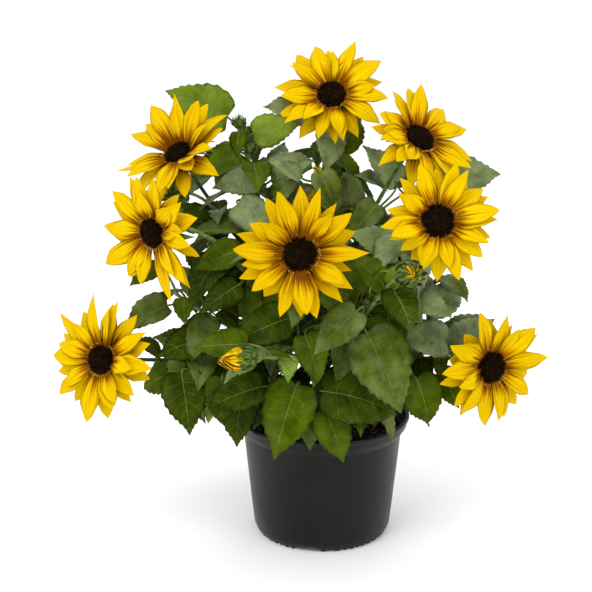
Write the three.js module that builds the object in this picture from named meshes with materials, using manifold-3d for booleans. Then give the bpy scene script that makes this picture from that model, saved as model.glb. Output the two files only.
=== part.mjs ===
// A branching sunflower in a black nursery pot, about 480 mm tall with its flowers open.
// Millimetres, +Z up. -Y is the front of the plant and +X is its right.
// The origin is on the pot's flat underside, under the middle of the pot.
// One main stem stands in the soil. Each side stem is a bare limb, then a leafy shoot, then a bloom.
// Shorter shoots off the main stem fill the middle and the skirt of the plant.
// A heading is in degrees from the front towards the right. A rise or pitch is in degrees above the level.

import * as THREE from "three";
import { mergeVertices } from "three/addons/utils/BufferGeometryUtils.js";
import Module from "manifold-3d";

const wasm = await Module();
wasm.setup();

// Driving dimensions

const GAP = 0.3; // between two pieces that touch
const CLEARANCE = 0.4; // that a growing leaf keeps to what already stands
const SLIVERS = [0.02, 0.03, 0.04, 0.05, 0.06, 0.08, 0.1, 0.12]; // edges and ridges to smooth out of a joined solid

const POT = {
  height: 121,
  rimRadius: 85.5,
  lipHeight: 4.5,
  bandHeight: 17,
  bandRadius: 79,
  shoulderRadius: 77.6,
  cornerRadius: 67.6,
  cornerHeight: 8.5,
  footRadius: 63.5,
  wall: 1.8,
  floor: 6,
  sides: 36,
};
const NOTCH = { count: 9, width: 7, height: 4.2, inner: 62 };
const SOIL = { top: 108, edgeDrop: 2, clear: 0.7, sides: 28 };

const MAIN_STEM = {
  foot: new THREE.Vector3(0, 0, SOIL.top + GAP),
  tip: new THREE.Vector3(-6, -4, 250),
  steps: [0, 0.06, 0.25, 0.5, 0.75, 1],
  radii: [11, 8.2, 7.2, 6.4, 5.6, 4.6],
  sunk: 3,
  sides: 10,
};
const LIMB = { rootRadius: 4.2, tipRadius: 2.2, sides: 5, steps: 8, reach: 0.4, approach: 0.35 };
const SHOOT_ROOT_RADIUS = 3.2;

const DISC = { radius: 15.5, dome: 5, depth: 14, sides: 10 };
const PETAL = { count: 20, root: 10, halfWidth: 8.4, thick: 1.3, rowDrop: 11, rowGap: 5, widest: 0.5 };
const BRACT = { count: 5, root: 8, length: 23, halfWidth: 4.5, thick: 1.2, lift: -24, widest: 0.4 };
const BUD = { sides: 8, length: 24, radius: 9.5, bracts: 6 };
const SMALL_BUD = { sides: 6, length: 13, radius: 5, bracts: 4 };
const BUD_BRACT_LIFT = 52;

const LEAF = { width: 0.35, thick: 1.5, rows: [0.17, 0.56], bend: 34, fold: 8 };
const LEAF_PEAK = 0.462; // the greatest value of u^0.35 (1 - u)
const PETIOLE_RADII = [1.5, 1.1];

// Turns and changes of pitch, in degrees, that a leaf tries until it stands clear
const TURNS = [0, 18, -18, 36, -36, 54, -54, 80, -80];
const PITCHES = [0, 14, -14];
// Moves to the back and front that a leaf shown from the front tries
const NUDGES = [0, 8, -8, 16, -16, 24, -24, 36];
// Room before each bloom that no leaf enters, so that its face shows
const FACE_ROOM = { radius: 42, depth: 130, start: 4 };
// The outline that leaves placed by the rule keep within
const CROWN = { centre: new THREE.Vector3(-5, 8, 250), reach: new THREE.Vector3(165, 150, 172), below: 230 };

// Stems that carry a bloom. from: height on the main stem. leave: heading and rise there.
// end: the middle of the bloom. faces: its heading and rise. petals: the reach of its petals from the middle,
// how far they lift, and how much more they lift above the middle than below it.
// leafy: the stretch that bears leaves. count and size: how many grow there by rule, and their length,
// from the lowest to the topmost.
const BLOOM_STEMS = [
  {
    name: "top", from: 250, leave: [-60, 86], end: [7, 5, 432], faces: [-2, 37],
    petals: [54, 6, 12], leafy: [0.2, 0.72], count: 6, size: [58, 44],
  },
  {
    name: "upper_left", from: 212, leave: [-70, 45], end: [-135, -15, 381], faces: [-41, 53],
    petals: [60, 20, 36], leafy: [0.32, 0.7], count: 5, size: [60, 44],
  },
  {
    name: "mid_left", from: 187, leave: [-62, 42], end: [-153, -95, 323], faces: [-36, -2],
    petals: [58, 9, 4], leafy: [0.3, 0.66], count: 5, size: [62, 46],
  },
  {
    name: "lower_left", from: 142, leave: [-75, 28], end: [-206, -70, 197], faces: [-25, 16],
    petals: [55, 6, 8], leafy: [0.34, 0.78], count: 6, size: [60, 44],
  },
  {
    name: "centre", from: 200, leave: [-8, 55], end: [-23, -130, 312], faces: [0, 14],
    petals: [60, 6, 8], leafy: [0.28, 0.7], count: 5, size: [60, 50],
  },
  {
    name: "upper_right", from: 224, leave: [70, 60], end: [86, -35, 398], faces: [35, 46],
    petals: [57, 9, 14], leafy: [0.22, 0.56], count: 5, size: [58, 46],
  },
  {
    name: "right", from: 214, leave: [45, 50], end: [97, -115, 338], faces: [7, 21],
    petals: [57, 6, 8], leafy: [0.3, 0.7], count: 5, size: [60, 46],
  },
  {
    name: "lower_right", from: 152, leave: [72, 25], end: [156, -60, 187], faces: [27, 4],
    petals: [57, 8, 6], leafy: [0.34, 0.74], count: 6, size: [60, 46],
  },
  {
    name: "back_top", from: 222, leave: [172, 52], end: [8, 128, 302], faces: [172, 42],
    petals: [55, 9, 14], leafy: [0.3, 0.74], count: 6, size: [60, 46],
  },
  {
    name: "back_left", from: 178, leave: [-150, 35], end: [-62, 150, 226], faces: [-160, 25],
    petals: [55, 8, 10], leafy: [0.3, 0.76], count: 6, size: [64, 48],
  },
  {
    name: "back_right", from: 168, leave: [140, 32], end: [78, 138, 214], faces: [150, 22],
    petals: [55, 8, 10], leafy: [0.3, 0.76], count: 6, size: [64, 48],
  },
];

// Shoots off the main stem, given in the same way, with a bud at the end of some of them
const SHOOTS = [
  {
    name: "low_front_left", from: 132, leave: [-20, 22], end: [-30, -76, 150], faces: [-30, -10],
    count: 4, size: [58, 50],
  },
  {
    name: "low_front_right", from: 137, leave: [14, 22], end: [24, -78, 153], faces: [20, -10],
    count: 4, size: [58, 50],
  },
  {
    name: "low_left", from: 127, leave: [-68, 20], end: [-102, -42, 146], faces: [-60, -10],
    count: 5, size: [64, 54],
  },
  {
    name: "low_right", from: 133, leave: [62, 22], end: [88, -48, 152], faces: [60, -10],
    count: 5, size: [64, 54],
  },
  {
    name: "low_back_left", from: 124, leave: [-130, 20], end: [-80, 68, 142], faces: [-130, -10],
    count: 6, size: [68, 58],
  },
  {
    name: "low_back_right", from: 129, leave: [125, 20], end: [82, 60, 146], faces: [130, -10],
    count: 6, size: [68, 58],
  },
  {
    name: "low_back", from: 138, leave: [178, 20], end: [0, 92, 148], faces: [180, -10],
    count: 6, size: [68, 58],
  },
  {
    name: "side_left", from: 166, leave: [-64, 30], end: [-140, -48, 256], faces: [-70, 40],
    count: 5, size: [56, 42],
  },
  {
    name: "side_right", from: 184, leave: [80, 36], end: [114, -30, 266], faces: [80, 35],
    count: 5, size: [56, 42],
  },
  {
    name: "inner_front", from: 176, leave: [2, 40], end: [12, -85, 234], faces: [0, 20],
    count: 5, size: [60, 50],
  },
  {
    name: "inner_left", from: 158, leave: [-20, 30], end: [-71, -130, 218], faces: [-80, 0],
    count: 5, size: [58, 46], bud: BUD,
  },
  {
    name: "inner_right", from: 160, leave: [35, 42], end: [71, -152, 300], faces: [14, 12],
    count: 5, size: [58, 44], bud: BUD,
  },
  {
    name: "inner_top_left", from: 232, leave: [-64, 44], end: [-79, 0, 407], faces: [-20, 60],
    count: 5, size: [54, 40], bud: SMALL_BUD,
  },
  {
    name: "side_back_left", from: 204, leave: [-115, 45], end: [-96, 62, 300], faces: [-115, 50],
    count: 6, size: [60, 44],
  },
  {
    name: "side_back_right", from: 206, leave: [110, 45], end: [92, 50, 322], faces: [110, 50],
    count: 6, size: [60, 44],
  },
];
const SHOOT_LEAFY = [0.24, 0.97];

// Twigs that end in a bud: the stem they leave, how far along it, the bud's place and the way it faces
const TWIGS = [
  { on: "upper_left", share: 0.52, end: [-137, -10, 341], faces: [-80, -16], bud: BUD },
  { on: "inner_top_left", share: 0.66, end: [-68, -6, 384], faces: [60, 50], bud: SMALL_BUD },
];
const TWIG_RADIUS = 1.8;

// Leaves that show from the front, by stem: how far along it, the place where the blade begins,
// then the blade's heading, pitch and roll, and its length
const SHOWN_LEAVES = {
  inner_right: [
    [0.36, [38, -88, 229], 50, -54, 35, 84],
    [0.6, [57, -92, 268], 70, -28, 50, 48],
    [0.42, [28, -112, 256], -60, -32, -40, 56],
    [0.6, [52, -98, 276], -76, 50, -60, 42],
    [0.68, [58, -108, 276], 80, 60, 60, 30],
  ],
  low_front_right: [
    [0.75, [-2, -92, 174], 82, -4, 50, 84],
    [0.85, [0, -95, 158], 60, -62, 40, 58],
  ],
  low_right: [[0.85, [86, -62, 177], 55, -62, 40, 56]],
  lower_right: [
    [0.62, [122, -30, 195], 105, 36, 50, 56],
    [0.45, [115, -45, 206], -60, 20, -60, 54],
    [0.5, [112, -30, 172], 75, -56, 50, 44],
  ],
  side_right: [
    [0.75, [95, -60, 246], 98, 26, 55, 50],
    [0.74, [97, -40, 250], -76, 50, -60, 44],
  ],
  low_front_left: [
    [0.85, [-25, -96, 182], -50, -62, -30, 76],
    [0.7, [-57, -82, 175], -84, -13, -50, 60],
  ],
  low_left: [
    [0.9, [-128, -60, 179], 10, -66, 6, 66],
    [0.8, [-95, -64, 178], -5, -68, -6, 50],
  ],
  side_left: [
    [0.5, [-110, -42, 211], -62, -8, -45, 52],
    [0.85, [-146, -42, 241], -78, -16, -45, 52],
    [0.78, [-115, -50, 254], -90, 60, -60, 38],
  ],
  inner_left: [
    [0.8, [-70, -102, 222], -86, 2, -50, 50],
    [0.5, [-31, -85, 242], -78, -16, -50, 60],
  ],
  lower_left: [[0.55, [-139, -25, 167], -95, -12, -50, 54]],
  inner_top_left: [
    [0.8, [-92, 45, 400], -74, 29, -70, 72],
    [0.86, [-66, 0, 396], 82, 18, 60, 46],
    [0.7, [-50, -5, 358], 83, 32, 60, 50],
    [0.62, [-45, 8, 356], 160, 72, 0, 38],
    [0.66, [-61, -12, 356], -68, 0, -55, 46],
    [0.53, [-46, -20, 338], 84, 50, 60, 36],
    [0.56, [-80, -32, 336], 53, -23, 45, 52],
  ],
  mid_left: [
    [0.45, [-72, -25, 318], -97, 0, -30, 58],
    [0.55, [-79, -58, 298], -78, -16, -55, 44],
  ],
  upper_left: [[0.55, [-108, 0, 308], -77, 19, -55, 54]],
  top: [
    [0.46, [-4, -28, 364], 45, -49, 35, 46],
    [0.62, [16, 10, 379], 123, 60, 40, 46],
  ],
  upper_right: [
    [0.5, [69, 5, 347], -80, 54, -65, 48],
    [0.42, [50, -20, 333], -60, -36, -40, 44],
    [0.48, [109, 12, 350], 85, 12, 55, 62],
  ],
  right: [[0.6, [66, -70, 300], -75, 30, -60, 50]],
  inner_front: [
    [0.8, [-18, -100, 230], 40, -54, 25, 50],
    [0.9, [18, -92, 260], 67, -28, 45, 42],
  ],
};

// Shared measures

const radians = THREE.MathUtils.degToRad;
const UP = new THREE.Vector3(0, 0, 1);

function heading(degrees, rise) {
  const level = Math.cos(radians(rise));
  return new THREE.Vector3(
    Math.sin(radians(degrees)) * level,
    -Math.cos(radians(degrees)) * level,
    Math.sin(radians(rise)),
  );
}

// The way to someone who looks at the plant's front
const FRONT = heading(0, 15);

function along(start, direction, distance) {
  return start.clone().addScaledVector(direction, distance);
}

// Repeatable draws: each state is 16807 times the last, modulo 2^31 - 1.
class Draws {
  constructor(seed) {
    this.state = seed * 7919 + 12345;
  }
  between(low, high) {
    this.state = (this.state * 16807) % 2147483647;
    return low + ((high - low) * this.state) / 2147483647;
  }
}

// Solids

function solidFrom(points, faces) {
  const vertProperties = new Float32Array(points.flatMap((p) => [p.x, p.y, p.z]));
  const triVerts = new Uint32Array(faces.flat());
  return new wasm.Manifold(new wasm.Mesh({ numProp: 3, vertProperties, triVerts }));
}

function solidOf(geometry) {
  geometry.deleteAttribute("normal");
  geometry.deleteAttribute("uv");
  const merged = mergeVertices(geometry, 1e-4);
  const vertProperties = merged.attributes.position.array;
  const triVerts = new Uint32Array(merged.index.array);
  return new wasm.Manifold(new wasm.Mesh({ numProp: 3, vertProperties, triVerts }));
}

// Rings of as many points each, joined in order and closed by a point at each end
function loft(startPole, rings, endPole) {
  const sides = rings[0].length;
  const points = [startPole, ...rings.flat(), endPole];
  const last = points.length - 1;
  const at = (ring, side) => 1 + ring * sides + (side % sides);
  const faces = [];
  for (let side = 0; side < sides; side++) {
    faces.push([0, at(0, side + 1), at(0, side)]);
    for (let ring = 0; ring < rings.length - 1; ring++) {
      faces.push([at(ring, side), at(ring, side + 1), at(ring + 1, side + 1)]);
      faces.push([at(ring, side), at(ring + 1, side + 1), at(ring + 1, side)]);
    }
    faces.push([last, at(rings.length - 1, side), at(rings.length - 1, side + 1)]);
  }
  return solidFrom(points, faces);
}

// A ring square to the direction, its first point towards the side vector
function ringAt(centre, direction, side, radius, sides) {
  const across = new THREE.Vector3().crossVectors(direction, side);
  return Array.from({ length: sides }, (_, i) => {
    const angle = (2 * Math.PI * i) / sides;
    return along(along(centre, side, radius * Math.cos(angle)), across, radius * Math.sin(angle));
  });
}

function squareTo(direction, vector) {
  return vector.clone().addScaledVector(direction, -direction.dot(vector)).normalize();
}

// A round stem through the points, whose rings turn with it as little as they can
function tube(points, directions, radii, sides) {
  let side = new THREE.Vector3(0.6, 0.3, 0.74);
  const rings = points.map((point, i) => {
    side = squareTo(directions[i], side);
    return ringAt(point, directions[i], side, radii[i], sides);
  });
  return loft(points[0], rings, points.at(-1));
}

// A turned shape: pairs of distance along the axis and radius, between two poles on the axis
function turned(origin, axis, startPole, profile, endPole, sides) {
  const side = squareTo(axis, UP);
  const rings = profile.map(([distance, radius]) =>
    ringAt(along(origin, axis, distance), axis, side, radius, sides),
  );
  return loft(along(origin, axis, startPole), rings, along(origin, axis, endPole));
}

// A folded blade of four faces: its ridge runs from root to tip, over an edge between its two sides
function paddle(root, direction, normal, length, { halfWidth, thick, widest }) {
  const side = new THREE.Vector3().crossVectors(direction, normal);
  const middle = along(along(root, direction, length * widest), normal, -thick);
  const tip = along(root, direction, length);
  const points = [root, along(middle, side, halfWidth), tip, along(middle, side, -halfWidth)];
  const faces = [
    [0, 1, 2],
    [0, 2, 3],
    [0, 3, 1],
    [1, 3, 2],
  ];
  return solidFrom(points, faces);
}

// What stands already, with the box of each solid, so that a leaf is tested only against its neighbours

class Standing {
  constructor() {
    this.items = [];
  }
  add(solid, owner, kind) {
    this.items.push({ solid, owner, kind, box: boxOf(solid) });
  }
  // True where the solid meets nothing, apart from the items that may touch it
  isClear(solid, mayTouch) {
    const box = boxOf(solid);
    return !this.items.some(
      (item) => box.intersectsBox(item.box) && !mayTouch(item) && !solid.intersect(item.solid).isEmpty(),
    );
  }
}

function boxOf(solid) {
  const { min, max } = solid.boundingBox();
  return new THREE.Box3(new THREE.Vector3(...min), new THREE.Vector3(...max));
}

// Pot and soil

function lathe(profile, sides) {
  const geometry = new THREE.LatheGeometry(profile.map(([radius, z]) => new THREE.Vector2(radius, z)), sides);
  return solidOf(geometry.rotateX(Math.PI / 2));
}

function potWallRadius(z) {
  const slope = (POT.shoulderRadius - POT.cornerRadius) / (POT.height - POT.bandHeight - POT.cornerHeight);
  return POT.cornerRadius + (z - POT.cornerHeight) * slope - POT.wall;
}

function makePot() {
  const band = POT.height - POT.bandHeight;
  const lip = POT.height - POT.lipHeight;
  const body = lathe(
    [
      [0, 0],
      [POT.footRadius, 0],
      [POT.cornerRadius, POT.cornerHeight],
      [POT.shoulderRadius, band],
      [POT.bandRadius, band + 1.5],
      [POT.rimRadius - 1.6, lip],
      [POT.rimRadius, lip + 1.5],
      [POT.rimRadius, POT.height],
      [POT.rimRadius - 3, POT.height],
      [POT.bandRadius - POT.wall, band + 1.5],
      [potWallRadius(band), band],
      [potWallRadius(POT.floor), POT.floor],
      [0, POT.floor],
    ],
    POT.sides,
  );
  const notches = Array.from({ length: NOTCH.count }, (_, i) => {
    const box = new THREE.BoxGeometry(POT.rimRadius - NOTCH.inner, NOTCH.width, 2 * NOTCH.height);
    box.translate((POT.rimRadius + NOTCH.inner) / 2, 0, 0);
    return solidOf(box.rotateZ((2 * Math.PI * (i + 0.5)) / NOTCH.count));
  });
  return notches.reduce((pot, notch) => pot.subtract(notch), body);
}

function makeSoil() {
  const bottom = POT.floor + GAP;
  const edge = SOIL.top - SOIL.edgeDrop;
  return lathe(
    [
      [0, bottom],
      [potWallRadius(bottom) - SOIL.clear, bottom],
      [potWallRadius(edge) - SOIL.clear, edge],
      [POT.shoulderRadius * 0.55, SOIL.top],
      [0, SOIL.top],
    ],
    SOIL.sides,
  );
}

// Stems

const mainStemAt = (height) => {
  const share = (height - MAIN_STEM.foot.z) / (MAIN_STEM.tip.z - MAIN_STEM.foot.z);
  return MAIN_STEM.foot.clone().lerp(MAIN_STEM.tip, share);
};

function makeMainStem(extra) {
  const points = MAIN_STEM.steps.map((step) => MAIN_STEM.foot.clone().lerp(MAIN_STEM.tip, step));
  points[0].z -= MAIN_STEM.sunk;
  points.at(-1).z += extra;
  const radii = MAIN_STEM.radii.map((radius) => radius + extra);
  const stem = tube(points, points.map(() => UP), radii, MAIN_STEM.sides);
  const ground = new THREE.BoxGeometry(40, 40, 20).translate(0, 0, MAIN_STEM.foot.z - extra - 10);
  return stem.subtract(solidOf(ground));
}

// The middle line of a side stem, from inside the main stem to the back of what it carries
function stemCurve({ from, leave, end, faces }, bloom) {
  const atTip = from >= MAIN_STEM.tip.z;
  const start = mainStemAt(atTip ? MAIN_STEM.tip.z + GAP : from);
  const facing = heading(...faces);
  const finish = along(new THREE.Vector3(...end), facing, bloom ? -DISC.depth : 0);
  const span = start.distanceTo(finish);
  return new THREE.CubicBezierCurve3(
    start,
    along(start, heading(...leave), span * LIMB.reach),
    along(finish, facing, -span * LIMB.approach),
    finish,
  );
}

// Part of a stem, kept clear at its far end of what follows it
function stretch(curve, first, last, rootRadius, sides) {
  const steps = Math.max(2, Math.round((last - first) * LIMB.steps));
  const points = [];
  const directions = [];
  const radii = [];
  for (let i = 0; i <= steps; i++) {
    const t = first + ((last - first) * i) / steps;
    points.push(curve.getPoint(t));
    directions.push(curve.getTangent(t));
    radii.push(rootRadius + (LIMB.tipRadius - rootRadius) * t);
  }
  points.at(-1).addScaledVector(directions.at(-1), -GAP);
  return tube(points, directions, radii, sides);
}

// Leaves

// A point of a blade: u from its base to its tip, v from one edge to the other, and a height off its face
function bladePoint(leaf, u, v, height, grow) {
  const bend = radians(LEAF.bend);
  const turn = bend * u;
  const forward = (Math.sin(turn) / bend) * leaf.length;
  const drop = ((1 - Math.cos(turn)) / bend) * leaf.length;
  const inside = Math.min(Math.max(u, 0), 1);
  const half = (Math.pow(inside, 0.35) * (1 - inside)) / LEAF_PEAK;
  const width = half > 0 ? half * LEAF.width * leaf.length + grow : 0;
  const fold = radians(LEAF.fold);
  const lift = Math.abs(v) * width * Math.sin(fold) + height;
  const point = along(leaf.base, leaf.forward, forward + lift * Math.sin(turn));
  point.addScaledVector(leaf.normal, lift * Math.cos(turn) - drop);
  return point.addScaledVector(leaf.side, v * width * Math.cos(fold));
}

// Three points across a blade: its two edges, and the midrib below them
function bladeRing(leaf, u, grow) {
  const rib = -LEAF.thick / 2 - grow;
  const [left, right] = [-1, 1].map((v) => bladePoint(leaf, u, v, grow, grow));
  return [left, right, bladePoint(leaf, u, 0, rib, grow)];
}

function makeBlade(leaf, grow) {
  const over = grow / leaf.length;
  const rings = LEAF.rows.map((u) => bladeRing(leaf, u, grow));
  return loft(bladePoint(leaf, -over, 0, 0, grow), rings, bladePoint(leaf, 1 + over, 0, 0, grow));
}

function makePetioleRoom(leaf) {
  const run = leaf.base.clone().sub(leaf.root).normalize();
  return tube([leaf.root, leaf.base], [run, run], PETIOLE_RADII.map((radius) => radius + CLEARANCE), 3);
}

// Stalk and blade in one: the stalk's three sides turn into the blade's top and the faces beside its midrib
function makeLeaf(leaf) {
  const run = leaf.base.clone().sub(leaf.root).normalize();
  const bend = run.clone().add(leaf.forward).normalize();
  const belowBase = squareTo(bend, leaf.normal).negate();
  const stalk = [
    ringAt(leaf.root, run, squareTo(run, belowBase), PETIOLE_RADII[0], 3),
    ringAt(leaf.base, bend, belowBase, PETIOLE_RADII[1], 3),
  ].map(([rib, left, right]) => [left, right, rib]);
  const blade = LEAF.rows.map((u) => bladeRing(leaf, u, 0));
  return loft(leaf.root, [...stalk, ...blade], bladePoint(leaf, 1, 0, 0, 0));
}

function leafAt(root, base, compass, pitch, roll, length) {
  const forward = heading(compass, pitch);
  const flatSide = new THREE.Vector3().crossVectors(forward, UP).normalize();
  const flatNormal = new THREE.Vector3().crossVectors(flatSide, forward);
  const turn = radians(roll);
  const normal = flatNormal.clone().multiplyScalar(Math.cos(turn)).addScaledVector(flatSide, Math.sin(turn));
  return { root, base, forward, normal, side: new THREE.Vector3().crossVectors(forward, normal), length };
}

// Blooms and buds

function faceFrame(faces) {
  const facing = heading(...faces);
  const side = new THREE.Vector3().crossVectors(UP, facing).normalize();
  return { facing, side, top: new THREE.Vector3().crossVectors(facing, side) };
}

// A blade that stands out round an axis at an angle, lifted along the axis and rolled about itself
function spread({ facing, side, top }, angle, lift, roll) {
  const outward = side.clone().multiplyScalar(Math.cos(angle)).addScaledVector(top, Math.sin(angle));
  const direction = outward.clone().multiplyScalar(Math.cos(lift)).addScaledVector(facing, Math.sin(lift));
  const across = new THREE.Vector3().crossVectors(facing, outward).applyAxisAngle(direction, roll);
  return { outward, direction, normal: new THREE.Vector3().crossVectors(across, direction) };
}

function makeBloom(stem, draws) {
  const frame = faceFrame(stem.faces);
  const { facing, top } = frame;
  const centre = new THREE.Vector3(...stem.end);
  const [reach, lifted, sag] = stem.petals;
  const R = DISC.radius;
  const profile = [
    [-DISC.depth, LIMB.tipRadius],
    [-DISC.depth * 0.6, R * 0.84],
    [0, R],
  ];
  const pieces = [turned(centre, facing, -DISC.depth - 1, profile, DISC.dome, DISC.sides)];
  for (let i = 0; i < PETAL.count; i++) {
    const row = i % 2;
    const angle = (2 * Math.PI * i) / PETAL.count + radians(draws.between(-5, 5));
    const length = (reach - PETAL.root) * draws.between(0.92, 1.05) - 2 * row;
    const risen = Math.sin(angle) * top.z;
    const lift = radians(lifted - row * PETAL.rowDrop + sag * risen + draws.between(-5, 5));
    const { outward, direction, normal } = spread(frame, angle, lift, radians(draws.between(-14, 14)));
    const root = along(along(centre, outward, PETAL.root), facing, -0.5 - PETAL.rowGap * row);
    pieces.push(paddle(root, direction, normal, length, PETAL));
  }
  for (let i = 0; i < BRACT.count; i++) {
    const angle = (2 * Math.PI * (i + 0.5)) / BRACT.count;
    const { outward, direction, normal } = spread(frame, angle, radians(BRACT.lift), 0);
    const root = along(along(centre, outward, BRACT.root), facing, -DISC.depth * 0.55);
    pieces.push(paddle(root, direction, normal, BRACT.length, BRACT));
  }
  return pieces;
}

function makeBud(end, faces, bud) {
  const frame = faceFrame(faces);
  const origin = new THREE.Vector3(...end);
  const shape = [
    [-0.45, 0.3],
    [-0.3, 0.85],
    [0.05, 1],
    [0.4, 0.62],
  ];
  const profile = shape.map(([distance, radius]) => [distance * bud.length, radius * bud.radius]);
  const pieces = [turned(origin, frame.facing, -0.5 * bud.length, profile, 0.55 * bud.length, bud.sides)];
  const blade = { ...BRACT, halfWidth: bud.radius * 0.32 };
  for (let i = 0; i < bud.bracts; i++) {
    const angle = (2 * Math.PI * (i + 0.5)) / bud.bracts;
    const { outward, direction, normal } = spread(frame, angle, radians(BUD_BRACT_LIFT), 0);
    const root = along(along(origin, outward, bud.radius * 0.4), frame.facing, -0.3 * bud.length);
    pieces.push(paddle(root, direction, normal, bud.length * 0.9, blade));
  }
  return pieces;
}

// Growth: all the stems stand first, then blooms and buds, then the leaves one by one

const standing = new Standing();
const nodes = new Map(); // name of a node: its solids

function place(name, solid, kind) {
  if (!nodes.has(name)) nodes.set(name, []);
  nodes.get(name).push(solid);
  standing.add(solid, name, kind);
}

const thickMainStem = makeMainStem(GAP);
const stems = new Map(); // name of a stem: its middle line, its mass's node and its rule
const faceRooms = [];

function raiseBloomStem(row, index) {
  const curve = stemCurve(row, true);
  const [first, last] = row.leafy;
  const limb = stretch(curve, 0, first, LIMB.rootRadius, LIMB.sides);
  place("stem_" + row.name, limb.subtract(thickMainStem), "stem");
  place("foliage_" + row.name, stretch(curve, first, last, LIMB.rootRadius, LIMB.sides), "stem");
  place("bloom_" + row.name, stretch(curve, last, 1, LIMB.rootRadius, LIMB.sides - 1), "stem");
  makeBloom(row, new Draws(index + 1)).forEach((piece) => place("bloom_" + row.name, piece, "bloom"));
  stems.set(row.name, { curve, node: "foliage_" + row.name, row, draws: new Draws(index + 101) });
  const views = [heading(...row.faces)];
  if (views[0].dot(FRONT) > 0.2) views.push(FRONT);
  views.forEach((view) => faceRooms.push({ centre: new THREE.Vector3(...row.end), view }));
}

function raiseShoot(row, index) {
  const curve = stemCurve(row, false);
  const node = "foliage_" + row.name;
  place(node, stretch(curve, 0, 1, SHOOT_ROOT_RADIUS, LIMB.sides - 1).subtract(thickMainStem), "stem");
  if (row.bud) makeBud(row.end, row.faces, row.bud).forEach((piece) => place(node, piece, "bloom"));
  stems.set(row.name, { curve, node, row: { ...row, leafy: SHOOT_LEAFY }, draws: new Draws(index + 201) });
}

function raiseTwig({ on, share, end, faces, bud }) {
  const { curve, node } = stems.get(on);
  const finish = new THREE.Vector3(...end);
  const start = curve.getPoint(share);
  const span = start.distanceTo(finish);
  const line = new THREE.CubicBezierCurve3(
    start,
    along(start, curve.getTangent(share), span * 0.15),
    along(finish, heading(...faces), -span * LIMB.approach),
    finish,
  );
  const steps = [0, 0.25, 0.5, 0.75, 1];
  const points = steps.map((t) => line.getPoint(t));
  const directions = steps.map((t) => line.getTangent(t));
  place(node, tube(points, directions, steps.map(() => TWIG_RADIUS), 4), "stem");
  makeBud(end, faces, bud).forEach((piece) => place(node, piece, "bloom"));
}

function hidesAFace(points) {
  return faceRooms.some(({ centre, view }) =>
    points.some((point) => {
      const offset = point.clone().sub(centre);
      const depth = offset.dot(view);
      const aside = offset.addScaledVector(view, -depth).length();
      return depth > FACE_ROOM.start && depth < FACE_ROOM.depth && aside < FACE_ROOM.radius;
    }),
  );
}

function leavesTheCrown(points) {
  return points.some((point) => {
    const offset = point.clone().sub(CROWN.centre);
    const reach = offset.z < 0 ? CROWN.reach.clone().setZ(CROWN.below) : CROWN.reach;
    return offset.divide(reach).length() > 1;
  });
}

const EDGE_SAMPLES = [
  [0.17, -1],
  [0.17, 1],
  [0.5, -1],
  [0.5, 0],
  [0.5, 1],
  [1, 0],
];

// Puts a leaf on its stem if it stands clear, and says whether it does
function grow(stem, leaf, byRule) {
  const samples = EDGE_SAMPLES.map(([u, v]) => bladePoint(leaf, u, v, 0, 0));
  if (byRule && (leavesTheCrown(samples) || hidesAFace(samples))) return false;
  const ownStem = (item) => item.owner === stem.node && item.kind !== "blade" && item.kind !== "bloom";
  if (!standing.isClear(makeBlade(leaf, CLEARANCE), () => false)) return false;
  if (!standing.isClear(makePetioleRoom(leaf), ownStem)) return false;
  const solid = makeLeaf(leaf);
  nodes.get(stem.node).push(solid);
  standing.add(makeBlade(leaf, 0), stem.node, "blade");
  standing.add(makePetioleRoom(leaf), stem.node, "petiole");
  return true;
}

function growShownLeaf(stem, [share, base, compass, pitch, roll, length]) {
  const root = stem.curve.getPoint(share);
  return NUDGES.some((nudge) => {
    const start = new THREE.Vector3(...base).setY(base[1] + nudge);
    return grow(stem, leafAt(root, start, compass, pitch, roll, length), false);
  });
}

// A leaf by rule: the next golden angle round the stem, turned and tilted until it stands clear
function growRuleLeaf(stem, index) {
  const { row, draws, curve } = stem;
  const share = (index + 0.5) / row.count;
  const root = curve.getPoint(row.leafy[0] + (row.leafy[1] - row.leafy[0]) * share);
  const size = (row.size[0] + (row.size[1] - row.size[0]) * share) * draws.between(0.9, 1.1);
  const compass = row.leave[0] + 90 + index * 137.5 + draws.between(-15, 15);
  const rise = draws.between(18, 44);
  const reach = size * draws.between(0.36, 0.5);
  const pitch = draws.between(-46, -10);
  const roll = draws.between(-20, 20);
  for (const turn of TURNS) {
    for (const tilt of PITCHES) {
      const base = along(root, heading(compass + turn, rise + tilt / 2), reach);
      const leaf = leafAt(root, base, compass + turn, pitch + tilt, roll, size);
      if (grow(stem, leaf, true)) return true;
    }
  }
  return false;
}

place("pot", makePot(), "pot");
place("soil", makeSoil(), "pot");
place("main_stem", makeMainStem(0), "stem");
BLOOM_STEMS.forEach(raiseBloomStem);
SHOOTS.forEach(raiseShoot);
TWIGS.forEach(raiseTwig);
for (const [name, leaves] of Object.entries(SHOWN_LEAVES)) {
  leaves.forEach((leaf) => growShownLeaf(stems.get(name), leaf));
}
for (const stem of stems.values()) {
  for (let index = 0; index < stem.row.count; index++) growRuleLeaf(stem, index);
}

// Meshes

const COLOURS = {
  pot: { color: 0x2b2b2a, roughness: 0.48, metalness: 0 },
  soil: { color: 0x2c1d14, roughness: 0.95, metalness: 0 },
  stem: { color: 0x5f7f36, roughness: 0.6, metalness: 0 },
  foliage: { color: 0x3f6420, roughness: 0.55, metalness: 0 },
  bloom: { color: 0xf6c20a, roughness: 0.6, metalness: 0 },
};

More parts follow.
